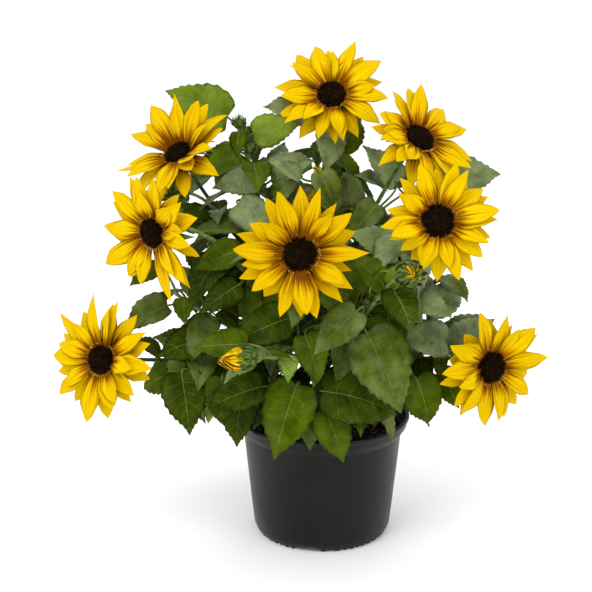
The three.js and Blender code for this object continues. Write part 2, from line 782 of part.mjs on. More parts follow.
// The least height of any triangle of a solid
function thinnest(solid) {
  const { vertProperties, triVerts } = solid.getMesh();
  const triangle = new THREE.Triangle();
  const corners = [triangle.a, triangle.b, triangle.c];
  let least = Infinity;
  for (let first = 0; first < triVerts.length; first += 3) {
    corners.forEach((corner, i) => corner.fromArray(vertProperties, 3 * triVerts[first + i]));
    const longest = Math.max(...corners.map((corner, i) => corner.distanceTo(corners[(i + 1) % 3])));
    least = Math.min(least, (2 * triangle.getArea()) / longest);
  }
  return least;
}

// Of the ways to smooth out the slivers that joining leaves, the one with the stoutest triangles
function withoutSlivers(solid) {
  const tries = SLIVERS.flatMap((finest) => {
    const once = solid.asOriginal().simplify(finest);
    return [once, once.asOriginal().simplify(finest)];
  });
  return tries.reduce((best, next) => (thinnest(next) > thinnest(best) ? next : best));
}

function meshOf(name, solids) {
  const joined = withoutSlivers(solids.reduce((whole, solid) => whole.add(solid)));
  const { vertProperties, triVerts } = joined.getMesh();
  const geometry = new THREE.BufferGeometry();
  geometry.setAttribute("position", new THREE.BufferAttribute(vertProperties, 3));
  geometry.setIndex(new THREE.BufferAttribute(triVerts, 1));
  geometry.computeVertexNormals();
  const kind = name === "main_stem" ? "stem" : name.split("_")[0];
  const mesh = new THREE.Mesh(geometry, new THREE.MeshStandardMaterial(COLOURS[kind]));
  mesh.name = name;
  return mesh;
}

const group = new THREE.Group();
nodes.forEach((solids, name) => group.add(meshOf(name, solids)));

export default group;
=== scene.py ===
"""A branching sunflower in a black nursery pot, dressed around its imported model.

Sizes are in millimetres until a mesh is written, which is in metres. +Z is up, -Y is the plant's front and
+X its right. A heading is in degrees from the front towards the right, a rise or pitch in degrees above the level.
The limbs, blooms and leaves stand where the solids' own rule puts them, and finer leaves follow by the same rule.
"""

from __future__ import annotations

import logging
import math
from collections.abc import Callable, Sequence
from dataclasses import dataclass, field, replace
from enum import Enum, IntEnum
from functools import cache

import bpy
import numpy as np
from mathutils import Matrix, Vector
from mathutils.bvhtree import BVHTree

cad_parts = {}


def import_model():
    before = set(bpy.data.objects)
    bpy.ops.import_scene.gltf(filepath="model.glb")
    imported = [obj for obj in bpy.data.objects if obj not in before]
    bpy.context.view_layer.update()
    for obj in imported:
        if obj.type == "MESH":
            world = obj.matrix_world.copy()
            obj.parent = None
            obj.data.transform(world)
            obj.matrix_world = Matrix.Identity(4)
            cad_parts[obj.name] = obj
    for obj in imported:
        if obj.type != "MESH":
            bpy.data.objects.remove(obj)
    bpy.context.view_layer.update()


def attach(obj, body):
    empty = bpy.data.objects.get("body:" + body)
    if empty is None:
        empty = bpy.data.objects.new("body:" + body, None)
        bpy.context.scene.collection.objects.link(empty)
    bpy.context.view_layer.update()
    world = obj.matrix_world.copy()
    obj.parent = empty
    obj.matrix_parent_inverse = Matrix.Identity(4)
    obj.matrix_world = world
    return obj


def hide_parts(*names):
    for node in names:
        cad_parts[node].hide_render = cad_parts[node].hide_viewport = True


logger = logging.getLogger("sunflower")

Array = np.ndarray
Angles = tuple[float, float]
Span = tuple[float, float]
Place = tuple[float, float, float]
Pairs = Sequence[Span]
Tone = tuple[int, int, int]
Socket = bpy.types.NodeSocket
Material = bpy.types.Material

MM = 0.001
UP = np.array([0.0, 0.0, 1.0])


# Sizes


@dataclass(frozen=True)
class PotSize:
    """The nursery pot, from its flat foot up to its rolled rim."""

    height: float = 121.0
    rim_radius: float = 85.5
    lip_height: float = 4.5
    band_height: float = 17.0
    band_radius: float = 79.0
    shoulder_radius: float = 77.6
    corner_radius: float = 67.6
    corner_height: float = 8.5
    foot_radius: float = 63.5
    wall: float = 1.8
    floor: float = 6.0
    soil_top: float = 108.0
    soil_edge_drop: float = 2.0
    step: float = 1.5


@dataclass(frozen=True)
class TrunkSize:
    """The main stem, tapering from its flare at the soil."""

    foot: Place = (0.0, 0.0, 108.3)
    tip: Place = (-6.0, -4.0, 250.0)
    steps: tuple[float, ...] = (0.0, 0.06, 0.25, 0.5, 0.75, 1.0)
    radii: tuple[float, ...] = (11.0, 8.2, 7.2, 6.4, 5.6, 4.6)


@dataclass(frozen=True)
class LimbSize:
    """The side stems: their radii, and how their middle lines leave and arrive."""

    root_radius: float = 4.2
    shoot_radius: float = 3.2
    twig_radius: float = 1.8
    tip_radius: float = 2.2
    reach: float = 0.4
    approach: float = 0.35
    twig_reach: float = 0.15
    gap: float = 0.3


@dataclass(frozen=True)
class DiscSize:
    """The dark middle of a bloom."""

    radius: float = 15.5
    dome: float = 5.0
    depth: float = 14.0


@dataclass(frozen=True)
class PaddleSize:
    """A coarse petal or bract, as the solids have it."""

    half_width: float
    thick: float
    widest: float


@dataclass(frozen=True)
class BudSize:
    """A bud: its length and radius, and how many bracts hug it."""

    sides: int
    length: float
    radius: float
    bracts: int


@dataclass(frozen=True)
class LeafSize:
    """A blade's shape, as shares of its length and in degrees."""

    width: float = 0.35
    thick: float = 1.5
    rows: Span = (0.17, 0.56)
    bend: float = 34.0
    fold: float = 8.0
    peak: float = 0.462


POT = PotSize()
TRUNK = TrunkSize()
LIMB = LimbSize()
DISC = DiscSize()
PETAL = PaddleSize(half_width=8.4, thick=1.3, widest=0.5)
BRACT = PaddleSize(half_width=4.5, thick=1.2, widest=0.4)
BUD = BudSize(sides=8, length=24.0, radius=9.5, bracts=6)
SMALL_BUD = BudSize(sides=6, length=13.0, radius=5.0, bracts=4)
LEAF = LeafSize()

PETAL_COUNT = 20
PETAL_ROOT = 10.0
ROW_DROP = 11.0
ROW_GAP = 5.0
BRACT_COUNT = 5
BRACT_LENGTH = 23.0
BRACT_ROOT = 8.0
BRACT_LIFT = -24.0
BUD_LIFT = 52.0
CLEARANCE = 0.4
PETIOLE_RADII = np.array([1.5, 1.1])
RING_SIDE = np.array([0.6, 0.3, 0.74])

# How the growing rule turns, tilts and moves a leaf and where it looks at the blade, and its first seeds
RULE_TURN = 137.5
TURNS = (0, 18, -18, 36, -36, 54, -54, 80, -80)
PITCHES = (0, 14, -14)
NUDGES = (0, 8, -8, 16, -16, 24, -24, 36)
YOUNG_LEAVES = 9
LEAF_SAMPLES = ((0.17, -1, 0), (0.17, 1, 0), (0.5, -1, 0), (0.5, 0, 0), (0.5, 1, 0), (1, 0, 0))
BLOOM_SEED, STEM_SEED, SHOOT_SEED, YOUNG_SEED = 1, 101, 201, 301

# The room before a bloom's face, and the crown's outline
FACE_RADIUS = 42.0
FACE_DEPTH = 130.0
FACE_START = 4.0
CROWN_CENTRE = np.array([-5.0, 8.0, 250.0])
CROWN_ABOVE = np.array([165.0, 150.0, 172.0])
CROWN_BELOW = np.array([165.0, 150.0, 230.0])


# The stems


class Kind(Enum):
    """What a coarse solid is part of."""

    POT = "pot"
    STEM = "stem"
    BLOOM = "bloom"
    BLADE = "blade"
    PETIOLE = "petiole"


class Stalk(IntEnum):
    """The slots of the stems: the two tones of the side stems, and the main stem."""

    DARK = 0
    PALE = 1
    MAIN = 2


class LeafTone(IntEnum):
    """The slots of the leaves: deep, mid, fresh, grey and bright blades, then their other parts; the grey blades' pale
    tone is painted sheen.
    """

    D = 0
    M = 1
    F = 2
    # Grey blades, whose pale grey-green is painted sheen
    G = 3
    B = 4
    UNDER = 5
    RIB = 6
    STALK = 7
    YOUNG = 8
    VEIN = 9


@dataclass(frozen=True)
class StemRow:
    """One side stem.

    start is its height on the main stem, leave its heading and rise there, end the middle of what it carries and
    faces the way that looks. petals gives their reach, their lift, and how much more they lift above the middle.
    leafy is the stretch that bears leaves, count and size how many grow there by rule and how long they are.
    """

    name: str
    start: float
    leave: Angles
    end: Place
    faces: Angles
    count: int
    size: Span
    petals: tuple[float, float, float] | None = None
    leafy: Span = (0.24, 0.97)
    bud: BudSize | None = None
    stalk: Stalk = Stalk.DARK


BLOOM_STEMS = (
    StemRow("top", 250, (-60, 86), (7, 5, 432), (-2, 37), 6, (58, 44), (54, 6, 12), (0.2, 0.72)),
    StemRow("upper_left", 212, (-70, 45), (-135, -15, 381), (-41, 53), 5, (60, 44), (60, 20, 36), (0.32, 0.7)),
    StemRow(
        "mid_left", 187, (-62, 42), (-153, -95, 323), (-36, -2), 5, (62, 46), (58, 9, 4), (0.3, 0.66),
        stalk=Stalk.PALE,
    ),
    StemRow("lower_left", 142, (-75, 28), (-206, -70, 197), (-25, 16), 6, (60, 44), (55, 6, 8), (0.34, 0.78)),
    StemRow("centre", 200, (-8, 55), (-23, -130, 312), (0, 14), 5, (60, 50), (60, 6, 8), (0.28, 0.7)),
    StemRow("upper_right", 224, (70, 60), (86, -35, 398), (35, 46), 5, (58, 46), (57, 9, 14), (0.22, 0.56)),
    StemRow("right", 214, (45, 50), (97, -115, 338), (7, 21), 5, (60, 46), (57, 6, 8), (0.3, 0.7)),
    StemRow("lower_right", 152, (72, 25), (156, -60, 187), (27, 4), 6, (60, 46), (57, 8, 6), (0.34, 0.74)),
    StemRow("back_top", 222, (172, 52), (8, 128, 302), (172, 42), 6, (60, 46), (55, 9, 14), (0.3, 0.74)),
    StemRow("back_left", 178, (-150, 35), (-62, 150, 226), (-160, 25), 6, (64, 48), (55, 8, 10), (0.3, 0.76)),
    StemRow("back_right", 168, (140, 32), (78, 138, 214), (150, 22), 6, (64, 48), (55, 8, 10), (0.3, 0.76)),
)

SHOOTS = (
    StemRow("low_front_left", 132, (-20, 22), (-30, -76, 150), (-30, -10), 4, (58, 50)),
    StemRow("low_front_right", 137, (14, 22), (24, -78, 153), (20, -10), 4, (58, 50)),
    StemRow("low_left", 127, (-68, 20), (-102, -42, 146), (-60, -10), 5, (64, 54)),
    StemRow("low_right", 133, (62, 22), (88, -48, 152), (60, -10), 5, (64, 54)),
    StemRow("low_back_left", 124, (-130, 20), (-80, 68, 142), (-130, -10), 6, (68, 58)),
    StemRow("low_back_right", 129, (125, 20), (82, 60, 146), (130, -10), 6, (68, 58)),
    StemRow("low_back", 138, (178, 20), (0, 92, 148), (180, -10), 6, (68, 58)),
    StemRow("side_left", 166, (-64, 30), (-140, -48, 256), (-70, 40), 5, (56, 42), stalk=Stalk.PALE),
    StemRow("side_right", 184, (80, 36), (114, -30, 266), (80, 35), 5, (56, 42)),
    StemRow("inner_front", 176, (2, 40), (12, -85, 234), (0, 20), 5, (60, 50)),
    StemRow("inner_left", 158, (-20, 30), (-71, -130, 218), (-80, 0), 5, (58, 46), bud=BUD, stalk=Stalk.PALE),
    StemRow("inner_right", 160, (35, 42), (71, -152, 300), (14, 12), 5, (58, 44), bud=BUD, stalk=Stalk.PALE),
    StemRow("inner_top_left", 232, (-64, 44), (-79, 0, 407), (-20, 60), 5, (54, 40), bud=SMALL_BUD, stalk=Stalk.PALE),
    StemRow("side_back_left", 204, (-115, 45), (-96, 62, 300), (-115, 50), 6, (60, 44)),
    StemRow("side_back_right", 206, (110, 45), (92, 50, 322), (110, 50), 6, (60, 44)),
)


@dataclass(frozen=True)
class TwigRow:
    """A twig that ends in a bud: the stem that it leaves, how far along, the bud's place and the way it faces."""

    on: str
    share: float
    end: Place
    faces: Angles
    bud: BudSize


TWIGS = (
    TwigRow("upper_left", 0.52, (-137, -10, 341), (-80, -16), BUD),
    TwigRow("inner_top_left", 0.66, (-68, -6, 384), (60, 50), SMALL_BUD),
)

# Leaves that show from the front, by stem: how far along it, the place where the blade begins,
# then the blade's heading, pitch and roll, its length and its shade
LeafRow = tuple[float, Place, float, float, float, float, str]
SHOWN_LEAVES: dict[str, list[LeafRow]] = {
    "inner_right": [
        (0.36, (38, -88, 229), 50, -54, 35, 84, "M"), (0.6, (57, -92, 268), 70, -28, 50, 48, "M"),
        (0.42, (28, -112, 256), -60, -32, -40, 56, "M"), (0.6, (52, -98, 276), -76, 50, -60, 42, "F"),
        (0.68, (58, -108, 276), 80, 60, 60, 30, "B"),
    ],
    "low_front_right": [
        (0.75, (-2, -92, 174), 82, -4, 50, 84, "D"), (0.85, (0, -95, 158), 60, -62, 40, 58, "F"),
    ],
    "low_right": [(0.85, (86, -62, 177), 55, -62, 40, 56, "F")],
    "lower_right": [
        (0.62, (122, -30, 195), 105, 36, 50, 56, "G"), (0.45, (115, -45, 206), -60, 20, -60, 54, "G"),
        (0.5, (112, -30, 172), 75, -56, 50, 44, "F"),
    ],
    "side_right": [
        (0.75, (95, -60, 244), 98, 26, 62, 46, "G"), (0.74, (97, -40, 250), -76, 50, -60, 44, "G"),
    ],
    "low_front_left": [
        (0.85, (-25, -96, 182), -50, -62, -30, 76, "F"), (0.7, (-57, -82, 175), -84, -13, -50, 60, "D"),
    ],
    "low_left": [
        (0.9, (-133, -60, 181), 24, -66, 14, 61, "D"), (0.8, (-95, -64, 178), -5, -68, -6, 50, "D"),
    ],
    "side_left": [
        (0.5, (-110, -42, 211), -62, -8, -45, 52, "D"), (0.85, (-146, -42, 241), -78, -16, -45, 52, "M"),
        (0.78, (-115, -50, 254), -90, 60, -60, 38, "M"),
    ],
    "inner_left": [
        (0.8, (-70, -102, 222), -86, 2, -50, 50, "F"), (0.5, (-31, -85, 242), -78, -16, -50, 60, "D"),
    ],
    "lower_left": [(0.55, (-139, -25, 167), -95, -12, -50, 54, "F")],
    "inner_top_left": [
        (0.8, (-92, 45, 405), -74, 29, -70, 66, "B"), (0.86, (-66, 0, 396), 82, 18, 60, 46, "B"),
        (0.7, (-50, -5, 358), 83, 32, 60, 50, "G"), (0.62, (-45, 8, 356), 160, 72, 0, 38, "G"),
        (0.66, (-61, -12, 356), -68, 0, -55, 46, "G"), (0.53, (-46, -20, 338), 84, 50, 60, 36, "M"),
        (0.56, (-80, -32, 336), 53, -23, 45, 52, "G"),
    ],
    "mid_left": [
        (0.45, (-72, -25, 318), -97, 0, -30, 58, "M"), (0.55, (-79, -58, 298), -78, -16, -55, 44, "F"),
    ],
    "upper_left": [(0.55, (-108, 0, 308), -77, 19, -55, 54, "F")],
    "top": [
        (0.46, (-4, -28, 364), 45, -49, 35, 46, "M"), (0.62, (16, 10, 379), 123, 60, 40, 46, "F"),
    ],
    "upper_right": [
        (0.5, (69, 5, 347), -80, 54, -65, 48, "G"), (0.42, (50, -20, 333), -60, -36, -40, 44, "M"),
        (0.48, (109, 12, 350), 85, 12, 55, 62, "G"),
    ],
    "right": [(0.6, (66, -70, 300), -75, 30, -60, 50, "G")],
    "inner_front": [(0.8, (-18, -100, 230), 40, -54, 25, 50, "F")],
}

# More leaves that show, which fill the crown once those of the solids stand
FILLING_LEAVES: dict[str, list[LeafRow]] = {
    "inner_top_left": [
        (0.81, (-81, 10, 377), -49, -18, -50, 46, "B"), (0.77, (-82, 0, 371), -50, -35, -40, 37, "G"),
        (0.67, (-59, 30, 348), -53, 13, -40, 47, "G"), (0.76, (-110, 15, 355), -79, -28, -30, 35, "G"),
        (0.84, (-83, 15, 376), -75, -4, -60, 36, "F"),
    ],
    "side_back_right": [
        (0.97, (74, 45, 336), -71, 62, 30, 57, "G"), (0.71, (54, 30, 301), -67, 63, 40, 48, "M"),
    ],
    "upper_right": [
        (0.52, (58, 15, 342), -45, 35, -40, 40, "G"), (0.52, (26, -15, 331), -46, 76, 40, 45, "M"),
    ],
    "top": [
        (0.48, (27, 0, 352), -86, 81, -40, 31, "F"), (0.63, (13, 45, 365), 56, -63, 30, 39, "M"),
        (0.65, (-16, 30, 408), -48, 27, -60, 47, "G"), (0.46, (-22, -20, 360), -66, 40, -50, 34, "G"),
        (0.63, (6, 20, 377), 86, 56, 50, 30, "F"),
    ],
    "mid_left": [(0.43, (-79, -60, 266), -52, -20, -50, 45, "D")],
    "side_left": [
        (0.8, (-90, -70, 254), -52, 39, -60, 33, "D"), (0.97, (-153, -50, 279), -67, -15, -40, 32, "F"),
    ],
    "lower_left": [
        (0.71, (-156, -30, 188), -28, 49, -60, 39, "F"), (0.62, (-128, -60, 203), -72, 18, -60, 34, "M"),
    ],
    "lower_right": [(0.69, (156, -15, 201), -100, 21, -60, 49, "G")],
    "right": [(0.45, (60, -30, 274), -123, 57, -60, 36, "M")],
    "inner_right": [(0.52, (87, -70, 254), 59, -12, 40, 34, "G")],
}

# How much longer the petals are to the right, to the left, above and below
PETAL_STRETCH = {
    "top": (0.03, 0.03, 0.0, -0.07),
    "upper_left": (0.16, 0.04, -0.04, 0.02),
    "mid_left": (-0.1, 0.18, -0.12, 0.06),
    "lower_left": (-0.08, 0.12, 0.02, 0.02),
    "centre": (0.0, -0.02, -0.1, -0.08),
    "upper_right": (0.1, -0.16, -0.12, -0.02),
    "right": (0.02, -0.16, -0.06, -0.08),
    "lower_right": (0.1, 0.0, -0.08, 0.06),
}
DISC_SHARES = {
    "top": 0.88, "upper_left": 0.93, "mid_left": 0.87, "lower_left": 0.88, "centre": 1.0, "upper_right": 0.97,
    "right": 0.98, "lower_right": 1.02,
}


# Shared measures


def unit(vectors: Array) -> Array:
    """Vectors of length 1."""
    return vectors / np.linalg.norm(vectors, axis=-1, keepdims=True)


def heading(degrees: float, rise: float) -> Array:
    """The direction at a heading and a rise."""
    turn, lift = math.radians(degrees), math.radians(rise)
    return np.array([math.sin(turn) * math.cos(lift), -math.cos(turn) * math.cos(lift), math.sin(lift)])


FRONT = heading(0, 15)


def square_to(direction: Array, vector: Array) -> Array:
    """The part of a vector square to a direction, of length 1."""
    return unit(vector - direction * np.sum(direction * vector, axis=-1, keepdims=True))


def turned_about(vectors: Array, axes: Array, angles: Array) -> Array:
    """Vectors turned about axes of length 1: v cos a + (axis x v) sin a + axis (axis . v)(1 - cos a).

    Args:
        vectors: Shape (N, 3).
        axes: Shape (N, 3).
        angles: Shape (N,), in radians.

    Returns:
        Shape (N, 3).
    """
    cos, sin = np.cos(angles)[..., None], np.sin(angles)[..., None]
    dots = np.sum(axes * vectors, axis=-1, keepdims=True)
    return vectors * cos + np.cross(axes, vectors) * sin + axes * dots * (1 - cos)


def smooth(low: float, high: float, values: Array) -> Array:
    """3x^2 - 2x^3 of where the values stand between low and high."""
    x = np.clip((values - low) / (high - low), 0, 1)
    return x * x * (3 - 2 * x)


def ring_angles(count: int) -> Array:
    """Even angles round a ring."""
    return np.arange(count) * (2 * math.pi / count)


def cubic(t: Array, a: Array, b: Array, c: Array, d: Array) -> Array:
    """s^3 a + 3 s^2 t b + 3 s t^2 c + t^3 d, with s = 1 - t."""
    s = 1 - t
    return s**3 * a + 3 * s * s * t * b + 3 * s * t * t * c + t**3 * d


@dataclass
class Draws:
    """Repeatable draws: each state is 16807 times the last, modulo 2^31 - 1."""

    seed: int
    state: int = field(init=False)

    def __post_init__(self) -> None:
        """Sets the first state from the seed."""
        self.state = self.seed * 7919 + 12345

    def between(self, low: float, high: float) -> float:
        """The next draw."""
        self.state = (self.state * 16807) % 2147483647
        return low + (high - low) * self.state / 2147483647


@dataclass(frozen=True)
class Curve:
    """A cubic curve with four control points."""

    controls: Array

    def at(self, t: float | Array) -> Array:
        """The points at shares t of the curve."""
        return cubic(np.asarray(t, float)[..., None], *self.controls)

    def along(self, t: float | Array) -> Array:
        """The directions at shares t of the curve: (1 - t)^2 (b - a) + 2 (1 - t) t (c - b) + t^2 (d - c)."""
        t, (a, b, c, d) = np.asarray(t, float)[..., None], self.controls
        return unit((1 - t) * (1 - t) * (b - a) + 2 * (1 - t) * t * (c - b) + t * t * (d - c))


# The coarse plant, which says where each limb and leaf has room


@dataclass
class Solid:
    """A closed skin of triangles, with the box round it."""

    points: Array
    faces: list[list[int]]
    low: Array = field(init=False)
    high: Array = field(init=False)
    tree: BVHTree = field(init=False)

    def __post_init__(self) -> None:
        """Measures the box and sorts the faces."""
        self.low, self.high = self.points.min(axis=0), self.points.max(axis=0)
        self.tree = BVHTree.FromPolygons(self.points.tolist(), self.faces, all_triangles=True)


@cache
def ring_faces(rings: int, sides: int) -> tuple[Array, Array, Array]:
    """The faces that join rings in order, with a point before the first and after the last.

    Args:
        rings: How many rings there are.
        sides: Points to a ring.

    Returns:
        The corners of the first triangles, of the quads between the rings, and of the last triangles.
    """
    turn, ring = np.arange(sides), 1 + np.arange(rings - 1)[:, None] * sides
    after, last = (turn + 1) % sides, 1 + (rings - 1) * sides
    first = np.stack([np.zeros_like(turn), 1 + after, 1 + turn], axis=-1)
    quads = np.stack([ring + turn, ring + after, ring + sides + after, ring + sides + turn], axis=-1)
    return first, quads.reshape(-1, 4), np.stack([np.full_like(turn, last + sides), last + turn, last + after], axis=-1)


def loft(start: Array, rings: Array, end: Array) -> Solid:
    """A solid through rings of shape (R, S, 3), closed by a point at each end.

    Args:
        start: The point before the first ring.
        rings: The rings.
        end: The point after the last ring.

    Returns:
        The solid.
    """
    first, quads, last = ring_faces(*rings.shape[:2])
    faces = np.concatenate([first, quads[:, :3], quads[:, [0, 2, 3]], last])
    return Solid(np.concatenate([start[None], rings.reshape(-1, 3), end[None]]), faces.tolist())


def tube(points: Array, directions: Array, radii: Array, sides: int) -> Solid:
    """A round stem, point + radius (cos a side + sin a (direction x side)), whose sides turn as little as they can.

    Args:
        points: The middles of its rings, shape (R, 3).
        directions: The way that it runs at each of them.
        radii: Its radius at each, shape (R,).
        sides: Points to a ring.

    Returns:
        The solid.
    """
    spokes = [square_to(directions[0], RING_SIDE)]
    for direction in directions[1:]:
        spokes.append(square_to(direction, spokes[-1]))
    angles, spokes = ring_angles(sides)[:, None], np.array(spokes)
    turns = np.cos(angles) * spokes[:, None] + np.sin(angles) * np.cross(directions, spokes)[:, None]
    return loft(points[0], points[:, None] + radii[:, None, None] * turns, points[-1])


def paddles(rays: Rays, size: PaddleSize) -> list[Solid]:
    """Folded blades of four faces.

    Args:
        rays: Where they stand.
        size: Their other sizes.

    Returns:
        A solid for each.
    """
    spans, sides = rays.directions * rays.lengths[:, None], np.cross(rays.directions, rays.normals) * size.half_width
    middles = rays.roots + spans * size.widest - rays.normals * size.thick
    corners = np.stack([rays.roots, middles + sides, rays.roots + spans, middles - sides], axis=1)
    return [Solid(points, [[0, 1, 2], [0, 2, 3], [0, 3, 1], [1, 3, 2]]) for points in corners]


def turned(origin: Array, frame: FaceFrame, profile: Pairs, sides: int) -> tuple[Array, Array, Array]:
    """A turned form: origin + distance facing + radius (cos a side + sin a top).

    Args:
        origin: Where distances start.
        frame: The way that it faces.
        profile: Pairs of distance along the facing and radius, whose first and last are its two poles.
        sides: How many points each ring has.

    Returns:
        The first pole, the rings of shape (R, S, 3) and the last pole.
    """
    distances, radii = np.array(profile, float).T
    points = origin + distances[:, None] * frame.facing
    return points[0], points[1:-1, None] + radii[1:-1, None, None] * frame.outward(ring_angles(sides)), points[-1]


@dataclass(frozen=True)
class Leaf:
    """Where a leaf stands: its stalk's root, its blade's base and frame, its length, its stem and its shade."""

    root: Array
    base: Array
    forward: Array
    normal: Array
    side: Array
    length: float
    stem: str = ""
    tone: LeafTone | None = None


def leaf_at(root: Array, base: Array, compass: float, pitch: float, roll: float, length: float) -> Leaf:
    """A leaf whose blade points along a heading and pitch, rolled about that line.

    Args:
        root: Where its stalk leaves the stem.
        base: Where its blade begins.
        compass: The blade's heading.
        pitch: Its pitch.
        roll: Its roll.
        length: Its length.

    Returns:
        The leaf.
    """
    forward = heading(compass, pitch)
    flat_side = unit(np.cross(forward, UP))
    flat_normal = np.cross(flat_side, forward)
    turn = math.radians(roll)
    normal = flat_normal * math.cos(turn) + flat_side * math.sin(turn)
    return Leaf(root, base, forward, normal, np.cross(forward, normal), length)


def coarse_points(leaf: Leaf, places: Sequence[Place], grow: float) -> Array:
    """Points of a coarse blade, which turns along an arc and folds up about its midrib.

    Args:
        leaf: The leaf.
        places: For each the share u from base to tip, the share from edge to edge and the height off the face. The
            half width is u^0.35 (1 - u) at its peak of 1.
        grow: A margin at the edges.

    Returns:
        Shape (N, 3).
    """
    bend, fold = math.radians(LEAF.bend), math.radians(LEAF.fold)
    u, v, height = np.array(places, float).T
    turn, inside = bend * u, np.clip(u, 0, 1)
    half = inside**0.35 * (1 - inside) / LEAF.peak
    width = np.where(half > 0, half * LEAF.width * leaf.length + grow, 0)
    lift = np.abs(v) * width * math.sin(fold) + height
    forward = np.sin(turn) / bend * leaf.length + lift * np.sin(turn)
    rise = lift * np.cos(turn) - (1 - np.cos(turn)) / bend * leaf.length
    ways = np.array([leaf.forward, leaf.normal, leaf.side])
    return leaf.base + np.stack([forward, rise, v * width * math.cos(fold)], axis=1) @ ways


def coarse_blade(leaf: Leaf, grow: float) -> Solid:
    """A coarse blade: rings of its two edges and its rib, between its base and its tip.

    Args:
        leaf: The leaf.
        grow: A margin all round.

    Returns:
        The solid.
    """
    over, rib = grow / leaf.length, -LEAF.thick / 2 - grow
    rings = [(u, v, height) for u in LEAF.rows for v, height in ((-1, grow), (1, grow), (0, rib))]
    points = coarse_points(leaf, [(-over, 0, 0), *rings, (1 + over, 0, 0)], grow)
    return loft(points[0], points[1:-1].reshape(-1, 3, 3), points[-1])


def petiole_room(leaf: Leaf) -> Solid:
    """The room that a leaf's stalk takes."""
    run = unit(leaf.base - leaf.root)
    return tube(np.array([leaf.root, leaf.base]), np.array([run, run]), PETIOLE_RADII + CLEARANCE, 3)


@dataclass(frozen=True)
class FaceFrame:
    """The way that a bloom or bud looks, and the two ways across it."""

    facing: Array
    side: Array
    top: Array

    @classmethod
    def about(cls, facing: Array, side: Array) -> FaceFrame:
        """The frame with a facing and a side."""
        return cls(facing, side, np.cross(facing, side))

    @classmethod
    def looking(cls, faces: Angles) -> FaceFrame:
        """The frame at a heading and rise."""
        return cls.about(heading(*faces), unit(np.cross(UP, heading(*faces))))

    def outward(self, angles: Array) -> Array:
        """The ways outward at angles round the axis from its right: cos a side + sin a top."""
        return np.cos(angles)[:, None] * self.side + np.sin(angles)[:, None] * self.top

    def spread(self, angles: Array, lifts: Array, rolls: Array) -> tuple[Array, Array, Array]:
        """Blades that stand out round the axis.

        Args:
            angles: Their angles round the axis, shape (N,).
            lifts: Their rise along the axis.
            rolls: Their turn about themselves.

        Returns:
            The ways outward, the blades' directions and their normals, each of shape (N, 3).
        """
        outward = self.outward(angles)
        direction = np.cos(lifts)[:, None] * outward + np.sin(lifts)[:, None] * self.facing
        across = turned_about(np.cross(self.facing, outward), direction, rolls)
        return outward, direction, np.cross(across, direction)


@dataclass
class Rays:
    """Blades: their roots, directions, normals and lengths, each of shape (N, 3) or (N,)."""

    roots: Array
    directions: Array
    normals: Array
    lengths: Array


@dataclass
class Limb:
    """A side stem that stands: its row, middle line, owner node, draws and the shares where leaves leave it."""

    row: StemRow
    curve: Curve
    node: str
    draws: Draws
    root_radius: float
    leaves: list[float] = field(default_factory=list)


@dataclass
class Head:
    """A bloom that stands, with the rays of its coarse petals."""

    row: StemRow
    number: int
    frame: FaceFrame
    petals: Rays

    @property
    def centre(self) -> Array:
        """Its middle."""
        return np.array(self.row.end, float)


@dataclass
class BudHead:
    """A bud that stands."""

    name: str
    number: int
    origin: Array
    frame: FaceFrame
    size: BudSize


@dataclass
class Item:
    """A solid that stands, with the node that owns it and its kind."""

    solid: Solid
    owner: str
    kind: Kind


